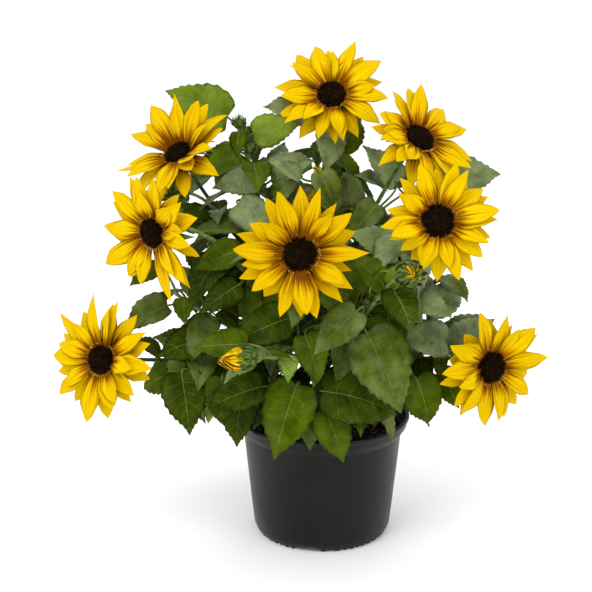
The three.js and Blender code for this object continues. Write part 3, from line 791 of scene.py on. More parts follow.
class Plant:
    """The whole growth: stems first, then blooms and buds, then the leaves one by one, each where it has room."""

    def __init__(self) -> None:
        """Grows everything in the order that the solids do, and finer leaves after it."""
        self.items: list[Item] = []
        self.lows = np.zeros((0, 3))
        self.highs = np.zeros((0, 3))
        self.limbs: dict[str, Limb] = {}
        self.twigs: list[Curve] = []
        self.heads: list[Head] = []
        self.buds: list[BudHead] = []
        self.leaves: list[Leaf] = []
        self.small_leaves: list[Leaf] = []
        self.face_centres: list[Array] = []
        self.face_views: list[Array] = []
        self.stand_pot()
        for index, row in enumerate(BLOOM_STEMS):
            self.raise_bloom_stem(row, index)
        for index, row in enumerate(SHOOTS):
            self.raise_shoot(row, index)
        for row in TWIGS:
            self.raise_twig(row)
        self.grow_shown_leaves(SHOWN_LEAVES)
        self.grow_rule_leaves()
        self.grow_shown_leaves(FILLING_LEAVES)
        self.grow_small_leaves()

    def place(self, solid: Solid, owner: str, kind: Kind) -> None:
        """Adds a solid to what stands.

        Args:
            solid: The solid.
            owner: The node that it is part of.
            kind: What it is part of.
        """
        self.items.append(Item(solid, owner, kind))
        self.lows = np.vstack([self.lows, solid.low])
        self.highs = np.vstack([self.highs, solid.high])

    def is_clear(self, solid: Solid, may_touch: Callable[[Item], bool]) -> bool:
        """Whether a solid meets nothing.

        Args:
            solid: The solid to try.
            may_touch: Says which items it may touch.

        Returns:
            True where it is clear of all the others.
        """
        near = np.all((self.lows <= solid.high) & (self.highs >= solid.low), axis=1)
        items = [self.items[index] for index in np.flatnonzero(near)]
        return not any(solid.tree.overlap(item.solid.tree) for item in items if not may_touch(item))

    def stand_pot(self) -> None:
        """Stands the pot, the soil and the main stem."""
        foot, corner, shoulder, rim = POT.foot_radius, POT.corner_radius, POT.shoulder_radius, POT.rim_radius
        band, lip, edge = POT.height - POT.band_height, POT.height - POT.lip_height, POT.soil_top - POT.soil_edge_drop
        slope, wall, step = (shoulder - corner) / (band - POT.corner_height), POT.wall, POT.step
        pot = [
            (0, 0), (0, foot), (POT.corner_height, corner), (band, shoulder), (band + step, POT.band_radius),
            (lip, rim - 1.6), (lip + step, rim), (POT.height, rim), (POT.height, rim - 3),
            (band + step, POT.band_radius - wall), (band, shoulder - wall), (POT.floor, corner - 2.5 * slope - wall),
            (POT.floor, 0),
        ]
        soil = [
            (POT.floor, 0), (POT.floor, corner - 2.8), (edge, corner + (edge - POT.corner_height) * slope - wall - 0.7),
            (POT.soil_top, shoulder * 0.55), (POT.soil_top, 0),
        ]
        frame = FaceFrame.about(UP, np.array([0.0, -1.0, 0.0]))
        self.place(loft(*turned(np.zeros(3), frame, pot, 36)), "pot", Kind.POT)
        self.place(loft(*turned(np.zeros(3), frame, soil, 28)), "pot", Kind.POT)
        points = np.array([trunk_at(height) for height in TRUNK.steps])
        self.place(tube(points, np.tile(UP, (len(points), 1)), np.array(TRUNK.radii), 10), "main_stem", Kind.STEM)

    def stretch(self, curve: Curve, shares: Span, root_radius: float, sides: int) -> Solid:
        """Part of a stem, kept clear at its far end of what follows it.

        Args:
            curve: The stem's middle line.
            shares: Where the part starts and ends.
            root_radius: The stem's radius at its root.
            sides: Points to a ring.

        Returns:
            The solid.
        """
        first, last = shares
        steps = max(2, int((last - first) * 8 + 0.5))
        shares = first + (last - first) * np.arange(steps + 1) / steps
        points, directions = curve.at(shares), curve.along(shares)
        points[-1] -= directions[-1] * LIMB.gap
        radii = root_radius + (LIMB.tip_radius - root_radius) * shares
        return tube(points, directions, radii, sides)

    def place_rays(self, rays: Rays, size: PaddleSize, owner: str) -> None:
        """Places coarse petals or bracts."""
        for solid in paddles(rays, size):
            self.place(solid, owner, Kind.BLOOM)

    def raise_bloom_stem(self, row: StemRow, index: int) -> None:
        """Raises a stem with its bloom, and keeps the room before the bloom's face.

        Args:
            row: The stem.
            index: Its number.
        """
        curve = stem_curve(row)
        first, last = row.leafy
        foliage, bloom = "foliage_" + row.name, "bloom_" + row.name
        self.place(self.stretch(curve, (0, first), LIMB.root_radius, 5), "stem_" + row.name, Kind.STEM)
        self.place(self.stretch(curve, (first, last), LIMB.root_radius, 5), foliage, Kind.STEM)
        self.place(self.stretch(curve, (last, 1), LIMB.root_radius, 4), bloom, Kind.STEM)
        head = make_head(row, index)
        self.heads.append(head)
        centre, facing = head.centre, head.frame.facing
        profile = [(-15, 0), (-14, LIMB.tip_radius), (-8.4, DISC.radius * 0.84), (0, DISC.radius), (DISC.dome, 0)]
        upright = FaceFrame.about(facing, square_to(facing, UP))
        self.place(loft(*turned(centre, upright, profile, 10)), bloom, Kind.BLOOM)
        self.place_rays(head.petals, PETAL, bloom)
        angles = (np.arange(BRACT_COUNT) + 0.5) * (2 * math.pi / BRACT_COUNT)
        lifts = np.full(BRACT_COUNT, math.radians(BRACT_LIFT))
        outward, directions, normals = head.frame.spread(angles, lifts, np.zeros(BRACT_COUNT))
        roots = centre + outward * BRACT_ROOT - facing * DISC.depth * 0.55
        self.place_rays(Rays(roots, directions, normals, np.full(BRACT_COUNT, BRACT_LENGTH)), BRACT, bloom)
        self.limbs[row.name] = Limb(row, curve, foliage, Draws(index + STEM_SEED), LIMB.root_radius)
        views = [facing, FRONT] if facing @ FRONT > 0.2 else [facing]
        self.face_centres += [centre] * len(views)
        self.face_views += views

    def raise_shoot(self, row: StemRow, index: int) -> None:
        """Raises a shoot, with a bud at its end if it has one.

        Args:
            row: The shoot.
            index: Its number.
        """
        curve = stem_curve(row)
        node = "foliage_" + row.name
        self.place(self.stretch(curve, (0, 1), LIMB.shoot_radius, 4), node, Kind.STEM)
        if row.bud:
            self.raise_bud(row.name, row, node)
        self.limbs[row.name] = Limb(row, curve, node, Draws(index + SHOOT_SEED), LIMB.shoot_radius)

    def raise_bud(self, name: str, row: StemRow | TwigRow, node: str) -> None:
        """Puts a bud at the end of a shoot or twig.

        Args:
            name: Its name.
            row: The shoot or twig.
            node: The node that it is part of.
        """
        frame, bud = FaceFrame.looking(row.faces), row.bud
        origin = np.array(row.end, float)
        shape = [(-0.5, 0.0), (-0.45, 0.3), (-0.3, 0.85), (0.05, 1.0), (0.4, 0.62), (0.55, 0.0)]
        profile = [(distance * bud.length, radius * bud.radius) for distance, radius in shape]
        upright = FaceFrame.about(frame.facing, square_to(frame.facing, UP))
        self.place(loft(*turned(origin, upright, profile, bud.sides)), node, Kind.BLOOM)
        angles = (np.arange(bud.bracts) + 0.5) * (2 * math.pi / bud.bracts)
        lifts = np.full(bud.bracts, math.radians(BUD_LIFT))
        outward, directions, normals = frame.spread(angles, lifts, np.zeros(bud.bracts))
        roots = origin + outward * bud.radius * 0.4 - frame.facing * 0.3 * bud.length
        rays = Rays(roots, directions, normals, np.full(bud.bracts, bud.length * 0.9))
        self.place_rays(rays, PaddleSize(bud.radius * 0.32, BRACT.thick, BRACT.widest), node)
        self.buds.append(BudHead(name, len(self.buds), origin, frame, bud))

    def raise_twig(self, row: TwigRow) -> None:
        """Raises a twig with its bud.

        Args:
            row: The twig.
        """
        limb = self.limbs[row.on]
        start, finish = limb.curve.at(row.share), np.array(row.end, float)
        span = np.linalg.norm(finish - start)
        leave = start + limb.curve.along(row.share) * span * LIMB.twig_reach
        arrive = finish - heading(*row.faces) * span * LIMB.approach
        curve = Curve(np.array([start, leave, arrive, finish]))
        steps = np.linspace(0, 1, 5)
        self.place(tube(curve.at(steps), curve.along(steps), np.full(5, LIMB.twig_radius), 4), limb.node, Kind.STEM)
        self.twigs.append(curve)
        self.raise_bud(row.on + "_twig", row, limb.node)

    def hides_a_face(self, points: Array) -> bool:
        """Whether a point stands in the room before a bloom.

        Args:
            points: Shape (N, 3).

        Returns:
            True where any of them does.
        """
        offsets = points[None] - np.array(self.face_centres)[:, None]
        views = np.array(self.face_views)[:, None]
        depth = np.sum(offsets * views, axis=-1)
        aside = np.linalg.norm(offsets - depth[..., None] * views, axis=-1)
        return bool(np.any((depth > FACE_START) & (depth < FACE_DEPTH) & (aside < FACE_RADIUS)))

    def grow(self, limb: Limb, leaf: Leaf, share: float, by_rule: bool, kept: list[Leaf]) -> bool:
        """Puts a leaf on its stem if it stands clear.

        Args:
            limb: The stem.
            leaf: The leaf to try.
            share: How far along the stem it leaves.
            by_rule: Whether it has to keep to the crown and out of the rooms before the blooms.
            kept: The list that the leaf joins.

        Returns:
            Whether it stands.
        """
        if by_rule:
            samples = coarse_points(leaf, LEAF_SAMPLES, 0)
            if leaves_the_crown(samples) or self.hides_a_face(samples):
                return False
        if not self.is_clear(coarse_blade(leaf, CLEARANCE), lambda item: False):
            return False
        room, own = petiole_room(leaf), (Kind.STEM, Kind.PETIOLE)
        if not self.is_clear(room, lambda item: item.owner == limb.node and item.kind in own):
            return False
        self.place(coarse_blade(leaf, 0), limb.node, Kind.BLADE)
        self.place(room, limb.node, Kind.PETIOLE)
        limb.leaves.append(share)
        kept.append(replace(leaf, stem=limb.row.name))
        return True

    def grow_shown_leaves(self, table: dict[str, list[LeafRow]]) -> None:
        """Puts leaves that show from the front where they belong, moved back or forward until they stand clear.

        Args:
            table: The leaves' rows, by stem.
        """
        for name, rows in table.items():
            limb = self.limbs[name]
            for share, base, compass, pitch, roll, length, letter in rows:
                root = limb.curve.at(share)
                for nudge in NUDGES:
                    start = np.array([base[0], base[1] + nudge, base[2]], float)
                    leaf = replace(leaf_at(root, start, compass, pitch, roll, length), tone=LeafTone[letter])
                    if self.grow(limb, leaf, share, False, self.leaves):
                        break
                else:
                    logger.warning("no room for the leaf of %s at %s", name, base)

    def try_round(self, limb: Limb, share: float, size: float, compass: float, kept: list[Leaf]) -> None:
        """Turns and tilts a leaf about its place on a stem until it stands clear.

        Args:
            limb: The stem, whose draws give the leaf's rise, reach, pitch and roll.
            share: How far along the stem it leaves.
            size: Its length.
            compass: Its first heading.
            kept: The list that it joins.
        """
        root = limb.curve.at(share)
        rise = limb.draws.between(18, 44)
        reach = size * limb.draws.between(0.36, 0.5)
        pitch = limb.draws.between(-46, -10)
        roll = limb.draws.between(-20, 20)
        for turn in TURNS:
            for tilt in PITCHES:
                base = root + heading(compass + turn, rise + tilt / 2) * reach
                leaf = leaf_at(root, base, compass + turn, pitch + tilt, roll, size)
                if self.grow(limb, leaf, share, True, kept):
                    return

    def grow_rule_leaves(self) -> None:
        """Grows the leaves of each stem at golden angles round it."""
        for limb in self.limbs.values():
            row = limb.row
            for index in range(row.count):
                part = (index + 0.5) / row.count
                share = row.leafy[0] + (row.leafy[1] - row.leafy[0]) * part
                size = (row.size[0] + (row.size[1] - row.size[0]) * part) * limb.draws.between(0.9, 1.1)
                compass = row.leave[0] + 90 + index * RULE_TURN + limb.draws.between(-15, 15)
                self.try_round(limb, share, size, compass, self.leaves)

    def grow_small_leaves(self) -> None:
        """Grows the young leaves that stand between the others, smaller towards each stem's tip."""
        for order, limb in enumerate(self.limbs.values()):
            limb.draws = Draws(order + YOUNG_SEED)
            first, last = limb.row.leafy
            for index in range(YOUNG_LEAVES):
                part = (index + 0.3) / YOUNG_LEAVES
                share = first + (last - first) * part
                size = (38 - 14 * part) * limb.draws.between(0.8, 1.15)
                compass = limb.row.leave[0] + 20 + index * RULE_TURN + limb.draws.between(-25, 25)
                self.try_round(limb, share, size, compass, self.small_leaves)


def trunk_at(share: float) -> Array:
    """The middle of the main stem at a share of its height."""
    foot, tip = np.array(TRUNK.foot), np.array(TRUNK.tip)
    return foot + (tip - foot) * share


def stem_curve(row: StemRow) -> Curve:
    """The middle line of a side stem, from inside the main stem to the back of what it carries.

    Args:
        row: The stem.

    Returns:
        Its middle line.
    """
    foot, tip = TRUNK.foot[2], TRUNK.tip[2]
    height = tip + LIMB.gap if row.start >= tip else row.start
    start = trunk_at((height - foot) / (tip - foot))
    facing = heading(*row.faces)
    finish = np.array(row.end, float) - (facing * DISC.depth if row.petals else 0)
    span = np.linalg.norm(finish - start)
    leave = start + heading(*row.leave) * span * LIMB.reach
    return Curve(np.array([start, leave, finish - facing * span * LIMB.approach, finish]))


def leaves_the_crown(points: Array) -> bool:
    """True where a point stands outside the crown's outline, which has one reach above its middle and one below."""
    offsets, below = points - CROWN_CENTRE, points[:, 2:] < CROWN_CENTRE[2]
    return bool(np.any(np.linalg.norm(offsets / np.where(below, CROWN_BELOW, CROWN_ABOVE), axis=1) > 1))


def make_head(row: StemRow, number: int) -> Head:
    """A bloom with two rows of petals in turn, lifted more above its middle than below it.

    Args:
        row: The bloom's stem.
        number: Its number.

    Returns:
        The bloom.
    """
    frame, draws = FaceFrame.looking(row.faces), Draws(number + BLOOM_SEED)
    reach, lifted, sag = row.petals
    drawn = []
    for index in range(PETAL_COUNT):
        angle = 2 * math.pi * index / PETAL_COUNT + math.radians(draws.between(-5, 5))
        length = (reach - PETAL_ROOT) * draws.between(0.92, 1.05) - 2 * (index % 2)
        lift = lifted - (index % 2) * ROW_DROP + sag * math.sin(angle) * frame.top[2] + draws.between(-5, 5)
        drawn.append((angle, length, math.radians(lift), math.radians(draws.between(-14, 14))))
    angles, lengths, lifts, rolls = np.array(drawn).T
    outward, directions, normals = frame.spread(angles, lifts, rolls)
    behind = 0.5 + ROW_GAP * (np.arange(PETAL_COUNT) % 2)
    roots = np.array(row.end) + outward * PETAL_ROOT - frame.facing * behind[:, None]
    return Head(row, number, frame, Rays(roots, directions, normals, lengths))


# Meshes


@dataclass
class Skin:
    """Part of a mesh: its points, the corners of its faces, each face's first corner and slot, and a UV per point."""

    points: Array
    corners: Array
    starts: Array
    slots: Array
    uvs: Array

    @classmethod
    def lofts(cls, starts: Array, rings: Array, ends: Array, slots: Array, uvs: Array | None = None) -> Skin:
        """Closed skins through rings, all of one layout.

        Rings run anticlockwise about the way that they follow each other. Ring r meets ring r + 1 in quads, and the
        point at each end closes its ring with triangles.

        Args:
            starts: Points before the first ring, shape (N, 3).
            rings: Shape (N, R, S, 3).
            ends: Points after the last ring, shape (N, 3).
            slots: The slot of each face, able to take the shape (N, R + 1, S).
            uvs: UVs of the rings' points, shape (N, R, S, 2).

        Returns:
            The skin.
        """
        count, deep, sides = rings.shape[:3]
        each = deep * sides + 2
        points = np.concatenate([starts[:, None], rings.reshape(count, -1, 3), ends[:, None]], axis=1)
        one = np.concatenate([part.reshape(-1) for part in ring_faces(deep, sides)])
        corners = one[None] + (np.arange(count) * each)[:, None]
        sizes = np.repeat([3, 4, 3], [sides, (deep - 1) * sides, sides])
        begins = np.concatenate([[0], np.cumsum(sizes)[:-1]])
        all_starts = begins[None] + (np.arange(count) * one.size)[:, None]
        all_slots = np.broadcast_to(slots, (count, deep + 1, sides)).reshape(count, -1)
        maps = np.zeros((count, each, 2))
        if uvs is not None:
            maps[:, 1:-1] = uvs.reshape(count, -1, 2)
            maps[:, 0] = uvs[:, 0].mean(axis=1)
            maps[:, -1] = uvs[:, -1].mean(axis=1)
        return cls(
            points.reshape(-1, 3), corners.reshape(-1), all_starts.reshape(-1),
            all_slots.reshape(-1), maps.reshape(-1, 2),
        )


def write_piece(name: str, skins: list[Skin], finishes: list[Material]) -> bpy.types.Object:
    """Joins skins into one piece of the plant.

    Args:
        name: The piece's name.
        skins: What it is made of.
        finishes: The materials of its slots.

    Returns:
        The piece, riding on the root.
    """
    points = np.concatenate([skin.points for skin in skins]) * MM
    uvs = np.concatenate([skin.uvs for skin in skins])
    slots = np.concatenate([skin.slots for skin in skins])
    firsts = np.cumsum([0] + [len(skin.points) for skin in skins])
    offsets = np.cumsum([0] + [skin.corners.size for skin in skins])
    corners = np.concatenate([skin.corners + first for skin, first in zip(skins, firsts)])
    starts = np.concatenate([skin.starts + offset for skin, offset in zip(skins, offsets)])
    mesh = bpy.data.meshes.new(name)
    mesh.vertices.add(len(points))
    mesh.vertices.foreach_set("co", points.astype(np.float32).reshape(-1))
    mesh.loops.add(corners.size)
    mesh.loops.foreach_set("vertex_index", corners.astype(np.int32))
    mesh.polygons.add(starts.size)
    mesh.polygons.foreach_set("loop_start", starts.astype(np.int32))
    mesh.polygons.foreach_set("material_index", slots.astype(np.int32))
    mesh.polygons.foreach_set("use_smooth", np.ones(starts.size, bool))
    layer = mesh.uv_layers.new(name="Along")
    layer.data.foreach_set("uv", uvs[corners].astype(np.float32).reshape(-1))
    for finish in finishes:
        mesh.materials.append(finish)
    mesh.update(calc_edges=True)
    mesh.validate()
    piece = bpy.data.objects.new(name, mesh)
    bpy.context.scene.collection.objects.link(piece)
    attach(piece, "root")
    triangles = int(np.sum(np.diff(np.append(starts, corners.size)) - 2))
    logger.info("%s: %d triangles", name, triangles)
    return piece


def tubes(paths: Array, radii: Array, sides: int, reference: Array, slots: Array, flat: float = 1.0) -> Skin:
    """Round limbs along paths: path + radius (cos a side + sin a (along x side)).

    Args:
        paths: Middle lines, shape (N, R, 3).
        radii: Able to take the shape (N, R, S).
        sides: How many points each ring has.
        reference: Vectors that give the sides, shape (N, 3) or (N, R, 3).
        slots: Slots, able to take the shape (N, R + 1, S).
        flat: How thick a ring is against its width.

    Returns:
        The skin.
    """
    along = unit(np.gradient(paths, axis=1))
    if reference.ndim == 2:
        reference = reference[:, None]
    side = square_to(along, np.broadcast_to(reference, paths.shape))
    across = np.cross(along, side)
    angles = ring_angles(sides)
    wide, deep = np.cos(angles)[:, None], flat * np.sin(angles)[:, None]
    spokes = wide * side[:, :, None] + deep * across[:, :, None]
    reach = np.broadcast_to(radii, (*paths.shape[:2], sides))[..., None]
    return Skin.lofts(paths[:, 0], paths[:, :, None] + reach * spokes, paths[:, -1], slots)


def revolved(origin: Array, frame: FaceFrame, profile: Pairs, sides: int) -> Skin:
    """A turned skin, all in the first slot."""
    return Skin.lofts(*(part[None] for part in turned(origin, frame, profile, sides)), np.array(0))


@dataclass
class Sheets(Rays):
    """Blades of one layout, whose kinds each have a surface."""

    def skin(
        self, rows: Array, columns: Array, thick: float, slots: tuple[Array, Array], numbers: Array | float = 0.0,
    ) -> Skin:
        """Thin closed blades: the top from edge to edge, then the underside back.

        Args:
            rows: The shares u of the rows, without the two ends.
            columns: The shares v of the top's columns, from -1 to 1.
            thick: The thickness.
            slots: The slots of the tops and of the undersides, each of shape (N,).
            numbers: A number for each blade, which its UV carries.

        Returns:
            The skin.
        """
        under = columns[-2:0:-1]
        u_top, v_top = np.meshgrid(rows, columns, indexing="ij")
        u_under, v_under = np.meshgrid(rows, under, indexing="ij")
        order = np.arange(rows.size)[:, None]
        top = self.surface(u_top, v_top, order, 0.0)
        below = self.surface(u_under, v_under, order, -thick)
        rings = np.concatenate([top, below], axis=2)
        zero = np.zeros((1, 1))
        starts = self.surface(zero, zero, zero, -thick / 2)[:, 0, 0]
        ends = self.surface(zero + 1, zero, zero, -thick / 2)[:, 0, 0]
        count, sides = len(self.lengths), columns.size + under.size
        faces = np.where(np.arange(sides) < columns.size - 1, slots[0][:, None], slots[1][:, None])
        numbers = np.broadcast_to(numbers, count)[:, None, None]
        uvs = np.zeros((count, rows.size, sides, 2))
        uvs[..., 0] = numbers + 0.5 + 0.4 * np.concatenate([v_top, v_under], axis=1)
        uvs[..., 1] = np.concatenate([u_top, u_under], axis=1)
        return Skin.lofts(starts, rings, ends, faces[:, None], uvs)

    def put(self, forward: Array, lift: Array, aside: Array) -> Array:
        """Points of the blades: root + forward direction + lift normal + aside (direction x normal).

        Args:
            forward: Distances along each blade, shape (N, R, C).
            lift: Distances off its face.
            aside: Distances to its side.

        Returns:
            Shape (N, R, C, 3).
        """
        ways = (self.roots, self.directions, self.normals, np.cross(self.directions, self.normals))
        root, direction, normal, side = (way[:, None, None] for way in ways)
        return root + forward[..., None] * direction + lift[..., None] * normal + aside[..., None] * side


# Finishes

# Where a mix node's factor and colours are among its inputs, and the pale grey-green of the painted sheen on leaves
MIX_COLOURS = (0, 6, 7)
PAINTED_SHEEN: Tone = (140, 153, 102)


class NodeBench:
    """Puts nodes in a tree and joins them."""

    def __init__(self, tree: bpy.types.NodeTree) -> None:
        """Works on one tree."""
        self.tree = tree
        self.count = 0

    def add(self, kind: str, inputs: dict[str | int, object] | None = None, **settings: object) -> bpy.types.Node:
        """A node, set out in rows of eight.

        Args:
            kind: Its type.
            inputs: What its inputs are joined to where they are sockets, or else set to.
            **settings: Its own values.

        Returns:
            The node.
        """
        node = self.tree.nodes.new(kind)
        node.location = (180 * (self.count % 8), -220 * (self.count // 8))
        self.count += 1
        for name, value in settings.items():
            setattr(node, name, value)
        for name, value in (inputs or {}).items():
            if isinstance(value, Socket):
                self.tree.links.new(value, node.inputs[name])
            else:
                node.inputs[name].default_value = value
        return node

    def ramp(self, factor: Socket, tones: Sequence[Tone]) -> Socket:
        """Tones at even places from 0.1 to 0.9 along a factor.

        Args:
            factor: The factor.
            tones: The tones.

        Returns:
            The colour.
        """
        node = self.add("ShaderNodeValToRGB", {"Fac": factor})
        elements = node.color_ramp.elements
        while len(elements) < len(tones):
            elements.new(0.5)
        for element, place, tone in zip(elements, np.linspace(0.1, 0.9, len(tones)), tones):
            element.position = float(place)
            element.color = colour(*tone)
        return node.outputs["Color"]

    def math(self, operation: str, first: object, second: object = 0.0, third: object = 0.0) -> Socket:
        """One sum of two or three values."""
        return self.add("ShaderNodeMath", {0: first, 1: second, 2: third}, operation=operation).outputs[0]

    def mix(self, factor: object, first: object, second: object) -> Socket:
        """A blend of two colours, whose sockets are found by their places."""
        places = dict(zip(MIX_COLOURS, (factor, first, second)))
        return self.add("ShaderNodeMix", places, data_type="RGBA").outputs[2]

    def noise(self, place: Socket, scale: object, detail: float, roughness: float = 0.5) -> Socket:
        """Soft noise from 0 to 1."""
        inputs = {"Vector": place, "Scale": scale, "Detail": detail, "Roughness": roughness}
        return self.add("ShaderNodeTexNoise", inputs).outputs[0]

    def remap(self, value: Socket, source: Span, target: Span = (0.0, 1.0)) -> Socket:
        """A value carried from one range to another."""
        inputs = dict(zip(("Value", "From Min", "From Max", "To Min", "To Max"), (value, *source, *target)))
        return self.add("ShaderNodeMapRange", inputs).outputs[0]

    def bump(self, height: Socket, strength: float, distance: float = 0.0006) -> Socket:
        """A raised grain, of a depth in metres."""
        return self.add("ShaderNodeBump", {"Height": height, "Strength": strength, "Distance": distance}).outputs[0]

    def shade(self, tone: object, gloss: object, specular: float = 0.5, **others: Socket) -> None:
        """The shader, joined to the material's output.

        Args:
            tone: Its colour.
            gloss: Its roughness.
            specular: The strength of its highlights.
            **others: More of its inputs.
        """
        inputs = {"Base Color": tone, "Roughness": gloss, "Specular IOR Level": specular, **others}
        shader = self.add("ShaderNodeBsdfPrincipled", inputs)
        self.add("ShaderNodeOutputMaterial", {"Surface": shader.outputs[0]})


def colour(red: int, green: int, blue: int) -> tuple[float, float, float, float]:
    """A screen colour as the light that it stands for."""
    light = [((value / 255 + 0.055) / 1.055) ** 2.4 if value > 10 else value / 3295 for value in (red, green, blue)]
    return (*light, 1.0)


def mottle_group() -> bpy.types.NodeTree:
    """Soft blotches on Object coordinates.

    Returns:
        A group with a Mask from 0 to 1, a Height for bumps and a mask of wider spots, where the leaves' painted sheen
        lies.
    """
    name = "Mottle"
    if name in bpy.data.node_groups:
        return bpy.data.node_groups[name]
    tree = bpy.data.node_groups.new(name, "ShaderNodeTree")
    for given, value in (("Blotch", 60.0), ("Grain", 600.0)):
        tree.interface.new_socket(given, in_out="INPUT", socket_type="NodeSocketFloat").default_value = value
    for output in ("Mask", "Height", "Patch"):
        tree.interface.new_socket(output, in_out="OUTPUT", socket_type="NodeSocketFloat")
    bench = NodeBench(tree)
    given = bench.add("NodeGroupInput")
    place = bench.add("ShaderNodeTexCoord").outputs["Object"]
    large = bench.noise(place, given.outputs["Blotch"], 2.0)
    fine = bench.noise(place, given.outputs["Grain"], 3.0)
    mask = bench.remap(bench.math("MULTIPLY_ADD", fine, 0.3, large), (0.42, 0.88))
    # Wider spots, where the leaves' painted sheen lies
    broad = bench.noise(place, bench.math("MULTIPLY", given.outputs["Blotch"], 0.7), 4.0, 0.65)
    sheen_patch = bench.remap(broad, (0.4, 0.64))
    bench.add("NodeGroupOutput", {"Mask": mask, "Height": fine, "Patch": sheen_patch})
    return tree


def start_material(name: str) -> tuple[Material, NodeBench]:
    """Starts an empty material.

    Args:
        name: Its name.

    Returns:
        The material, and the bench for its nodes.
    """
    material = bpy.data.materials.new(name)
    material.use_nodes = True
    material.node_tree.nodes.clear()
    return material, NodeBench(material.node_tree)


def mottled(bench: NodeBench, blotch: float, grain: float) -> bpy.types.NodeOutputs:
    """The outputs of the mottle effect with its own scales."""
    return bench.add("ShaderNodeGroup", {"Blotch": blotch, "Grain": grain}, node_tree=mottle_group()).outputs


@dataclass(frozen=True)
class GreenFinish:
    """A living green surface: blotches between two tones, pale patches of painted sheen, a soft gloss and a fine grain.
    """

    name: str
    deep: Tone
    light: Tone
    roughness: float = 0.5
    blotch: float = 70.0
    grain: float = 420.0
    bump: float = 0.55
    specular: float = 0.04
    painted_sheen: float = 0.0

    def material(self) -> Material:
        """Builds the material.

        Returns:
            The material.
        """
        material, bench = start_material(self.name)
        effect = mottled(bench, self.blotch, self.grain)
        tone = bench.ramp(effect["Mask"], (self.deep, self.light))
        # Pale patches of painted sheen, mixed over the tone
        if self.painted_sheen:
            tone = bench.mix(bench.math("MULTIPLY", effect["Patch"], self.painted_sheen), tone, colour(*PAINTED_SHEEN))
        gloss = bench.remap(effect["Height"], (0.0, 1.0), (self.roughness - 0.08, self.roughness + 0.1))
        grain = bench.bump(effect["Height"], self.bump)
        bench.shade(tone, gloss, self.specular, Normal=grain)
        return material


@dataclass(frozen=True)
class PetalFinish:
    """A ray petal: a brown root that breaks into streaks, then bright yellow with painted shade along the grooves of
    its bump.
    """

    name: str
    root: Tone
    streak: Tone
    body: Tone
    groove_shade: Tone
    reach: float = 0.5
    roughness: float = 0.6

    def material(self) -> Material:
        """Builds the material on the piece's own UV map: across and numbered along x, from root to tip along y.

        Returns:
            The material.
        """
        material, bench = start_material(self.name)
        place = bench.add("ShaderNodeUVMap", uv_map="Along").outputs[0]
        along = bench.add("ShaderNodeSeparateXYZ", {"Vector": place}).outputs[1]
        narrow = bench.add("ShaderNodeMapping", {"Vector": place, "Scale": (9.0, 0.7, 1.0)}).outputs[0]
        wide = bench.add("ShaderNodeMapping", {"Vector": place, "Scale": (1.3, 1.4, 1.0)}).outputs[0]
        lines, drift = bench.noise(narrow, 1.6, 3.0), bench.noise(wide, 1.0, 1.0)
        # Darker where the grain's bump sinks into grooves: painted shade
        tone = bench.mix(bench.remap(lines, (0.36, 0.62)), colour(*self.groove_shade), colour(*self.body))
        ragged = bench.math("MULTIPLY_ADD", lines, 0.9, bench.math("MULTIPLY_ADD", drift, 0.35, -0.63))
        edge = bench.math("ADD", along, ragged)
        worn = bench.remap(edge, (self.reach * 0.65, self.reach * 1.15))
        tone = bench.mix(worn, colour(*self.streak), tone)
        tone = bench.mix(bench.remap(edge, (self.reach * 0.35, self.reach * 0.75)), colour(*self.root), tone)
        bench.shade(tone, self.roughness, 0.02, Normal=bench.bump(lines, 0.5))
        return material


@dataclass(frozen=True)
class GrainFinish:
    """A dry or hard surface: blotches between tones, with a stated gloss and bump."""

    name: str
    tones: tuple[Tone, ...]
    roughness: float
    blotch: float
    grain: float
    bump: float
    depth: float = 0.0006
    spread: float = 0.06
    specular: float = 0.5

    def material(self) -> Material:
        """Builds the material.

        Returns:
            The material.
        """
        material, bench = start_material(self.name)
        effect = mottled(bench, self.blotch, self.grain)
        tone = bench.ramp(effect["Mask"], self.tones)
        gloss = bench.remap(effect["Mask"], (0.0, 1.0), (self.roughness - self.spread, self.roughness + self.spread))
        rough = bench.bump(effect["Height"], self.bump, self.depth)
        bench.shade(tone, gloss, self.specular, Normal=rough)
        return material


# The dressed plant

# The seeds of the pieces, to which their numbers are added
LARGE_SEED, SMALL_SEED, PETAL_SEED, SHADE_SEED = 10, 20, 40, 50
RAY_SEED, DISC_SEED, BRACT_SEED, BUD_SEED = 700, 800, 900, 1000
NOTCH_SEED, BARK_SEED = 31, 77

# The peak of a blade's half width before it is scaled, a stalk's radii along it, and a bract's rows
BLADE_PEAK = 0.4255
STALK_TAPER = (1.45, 1.15, 1.0, 0.95, 0.9, 0.86, 0.84, 0.82, 0.7)
BRACT_ROWS = np.array([0.02, 0.12, 0.27, 0.43, 0.6, 0.76, 0.9, 0.975])
BRACT_COLUMNS = np.linspace(-1, 1, 5)

# The angles between one petal or floret and the next
PETAL_TURN = 2.39996
FLORET_TURN = math.radians(137.508)

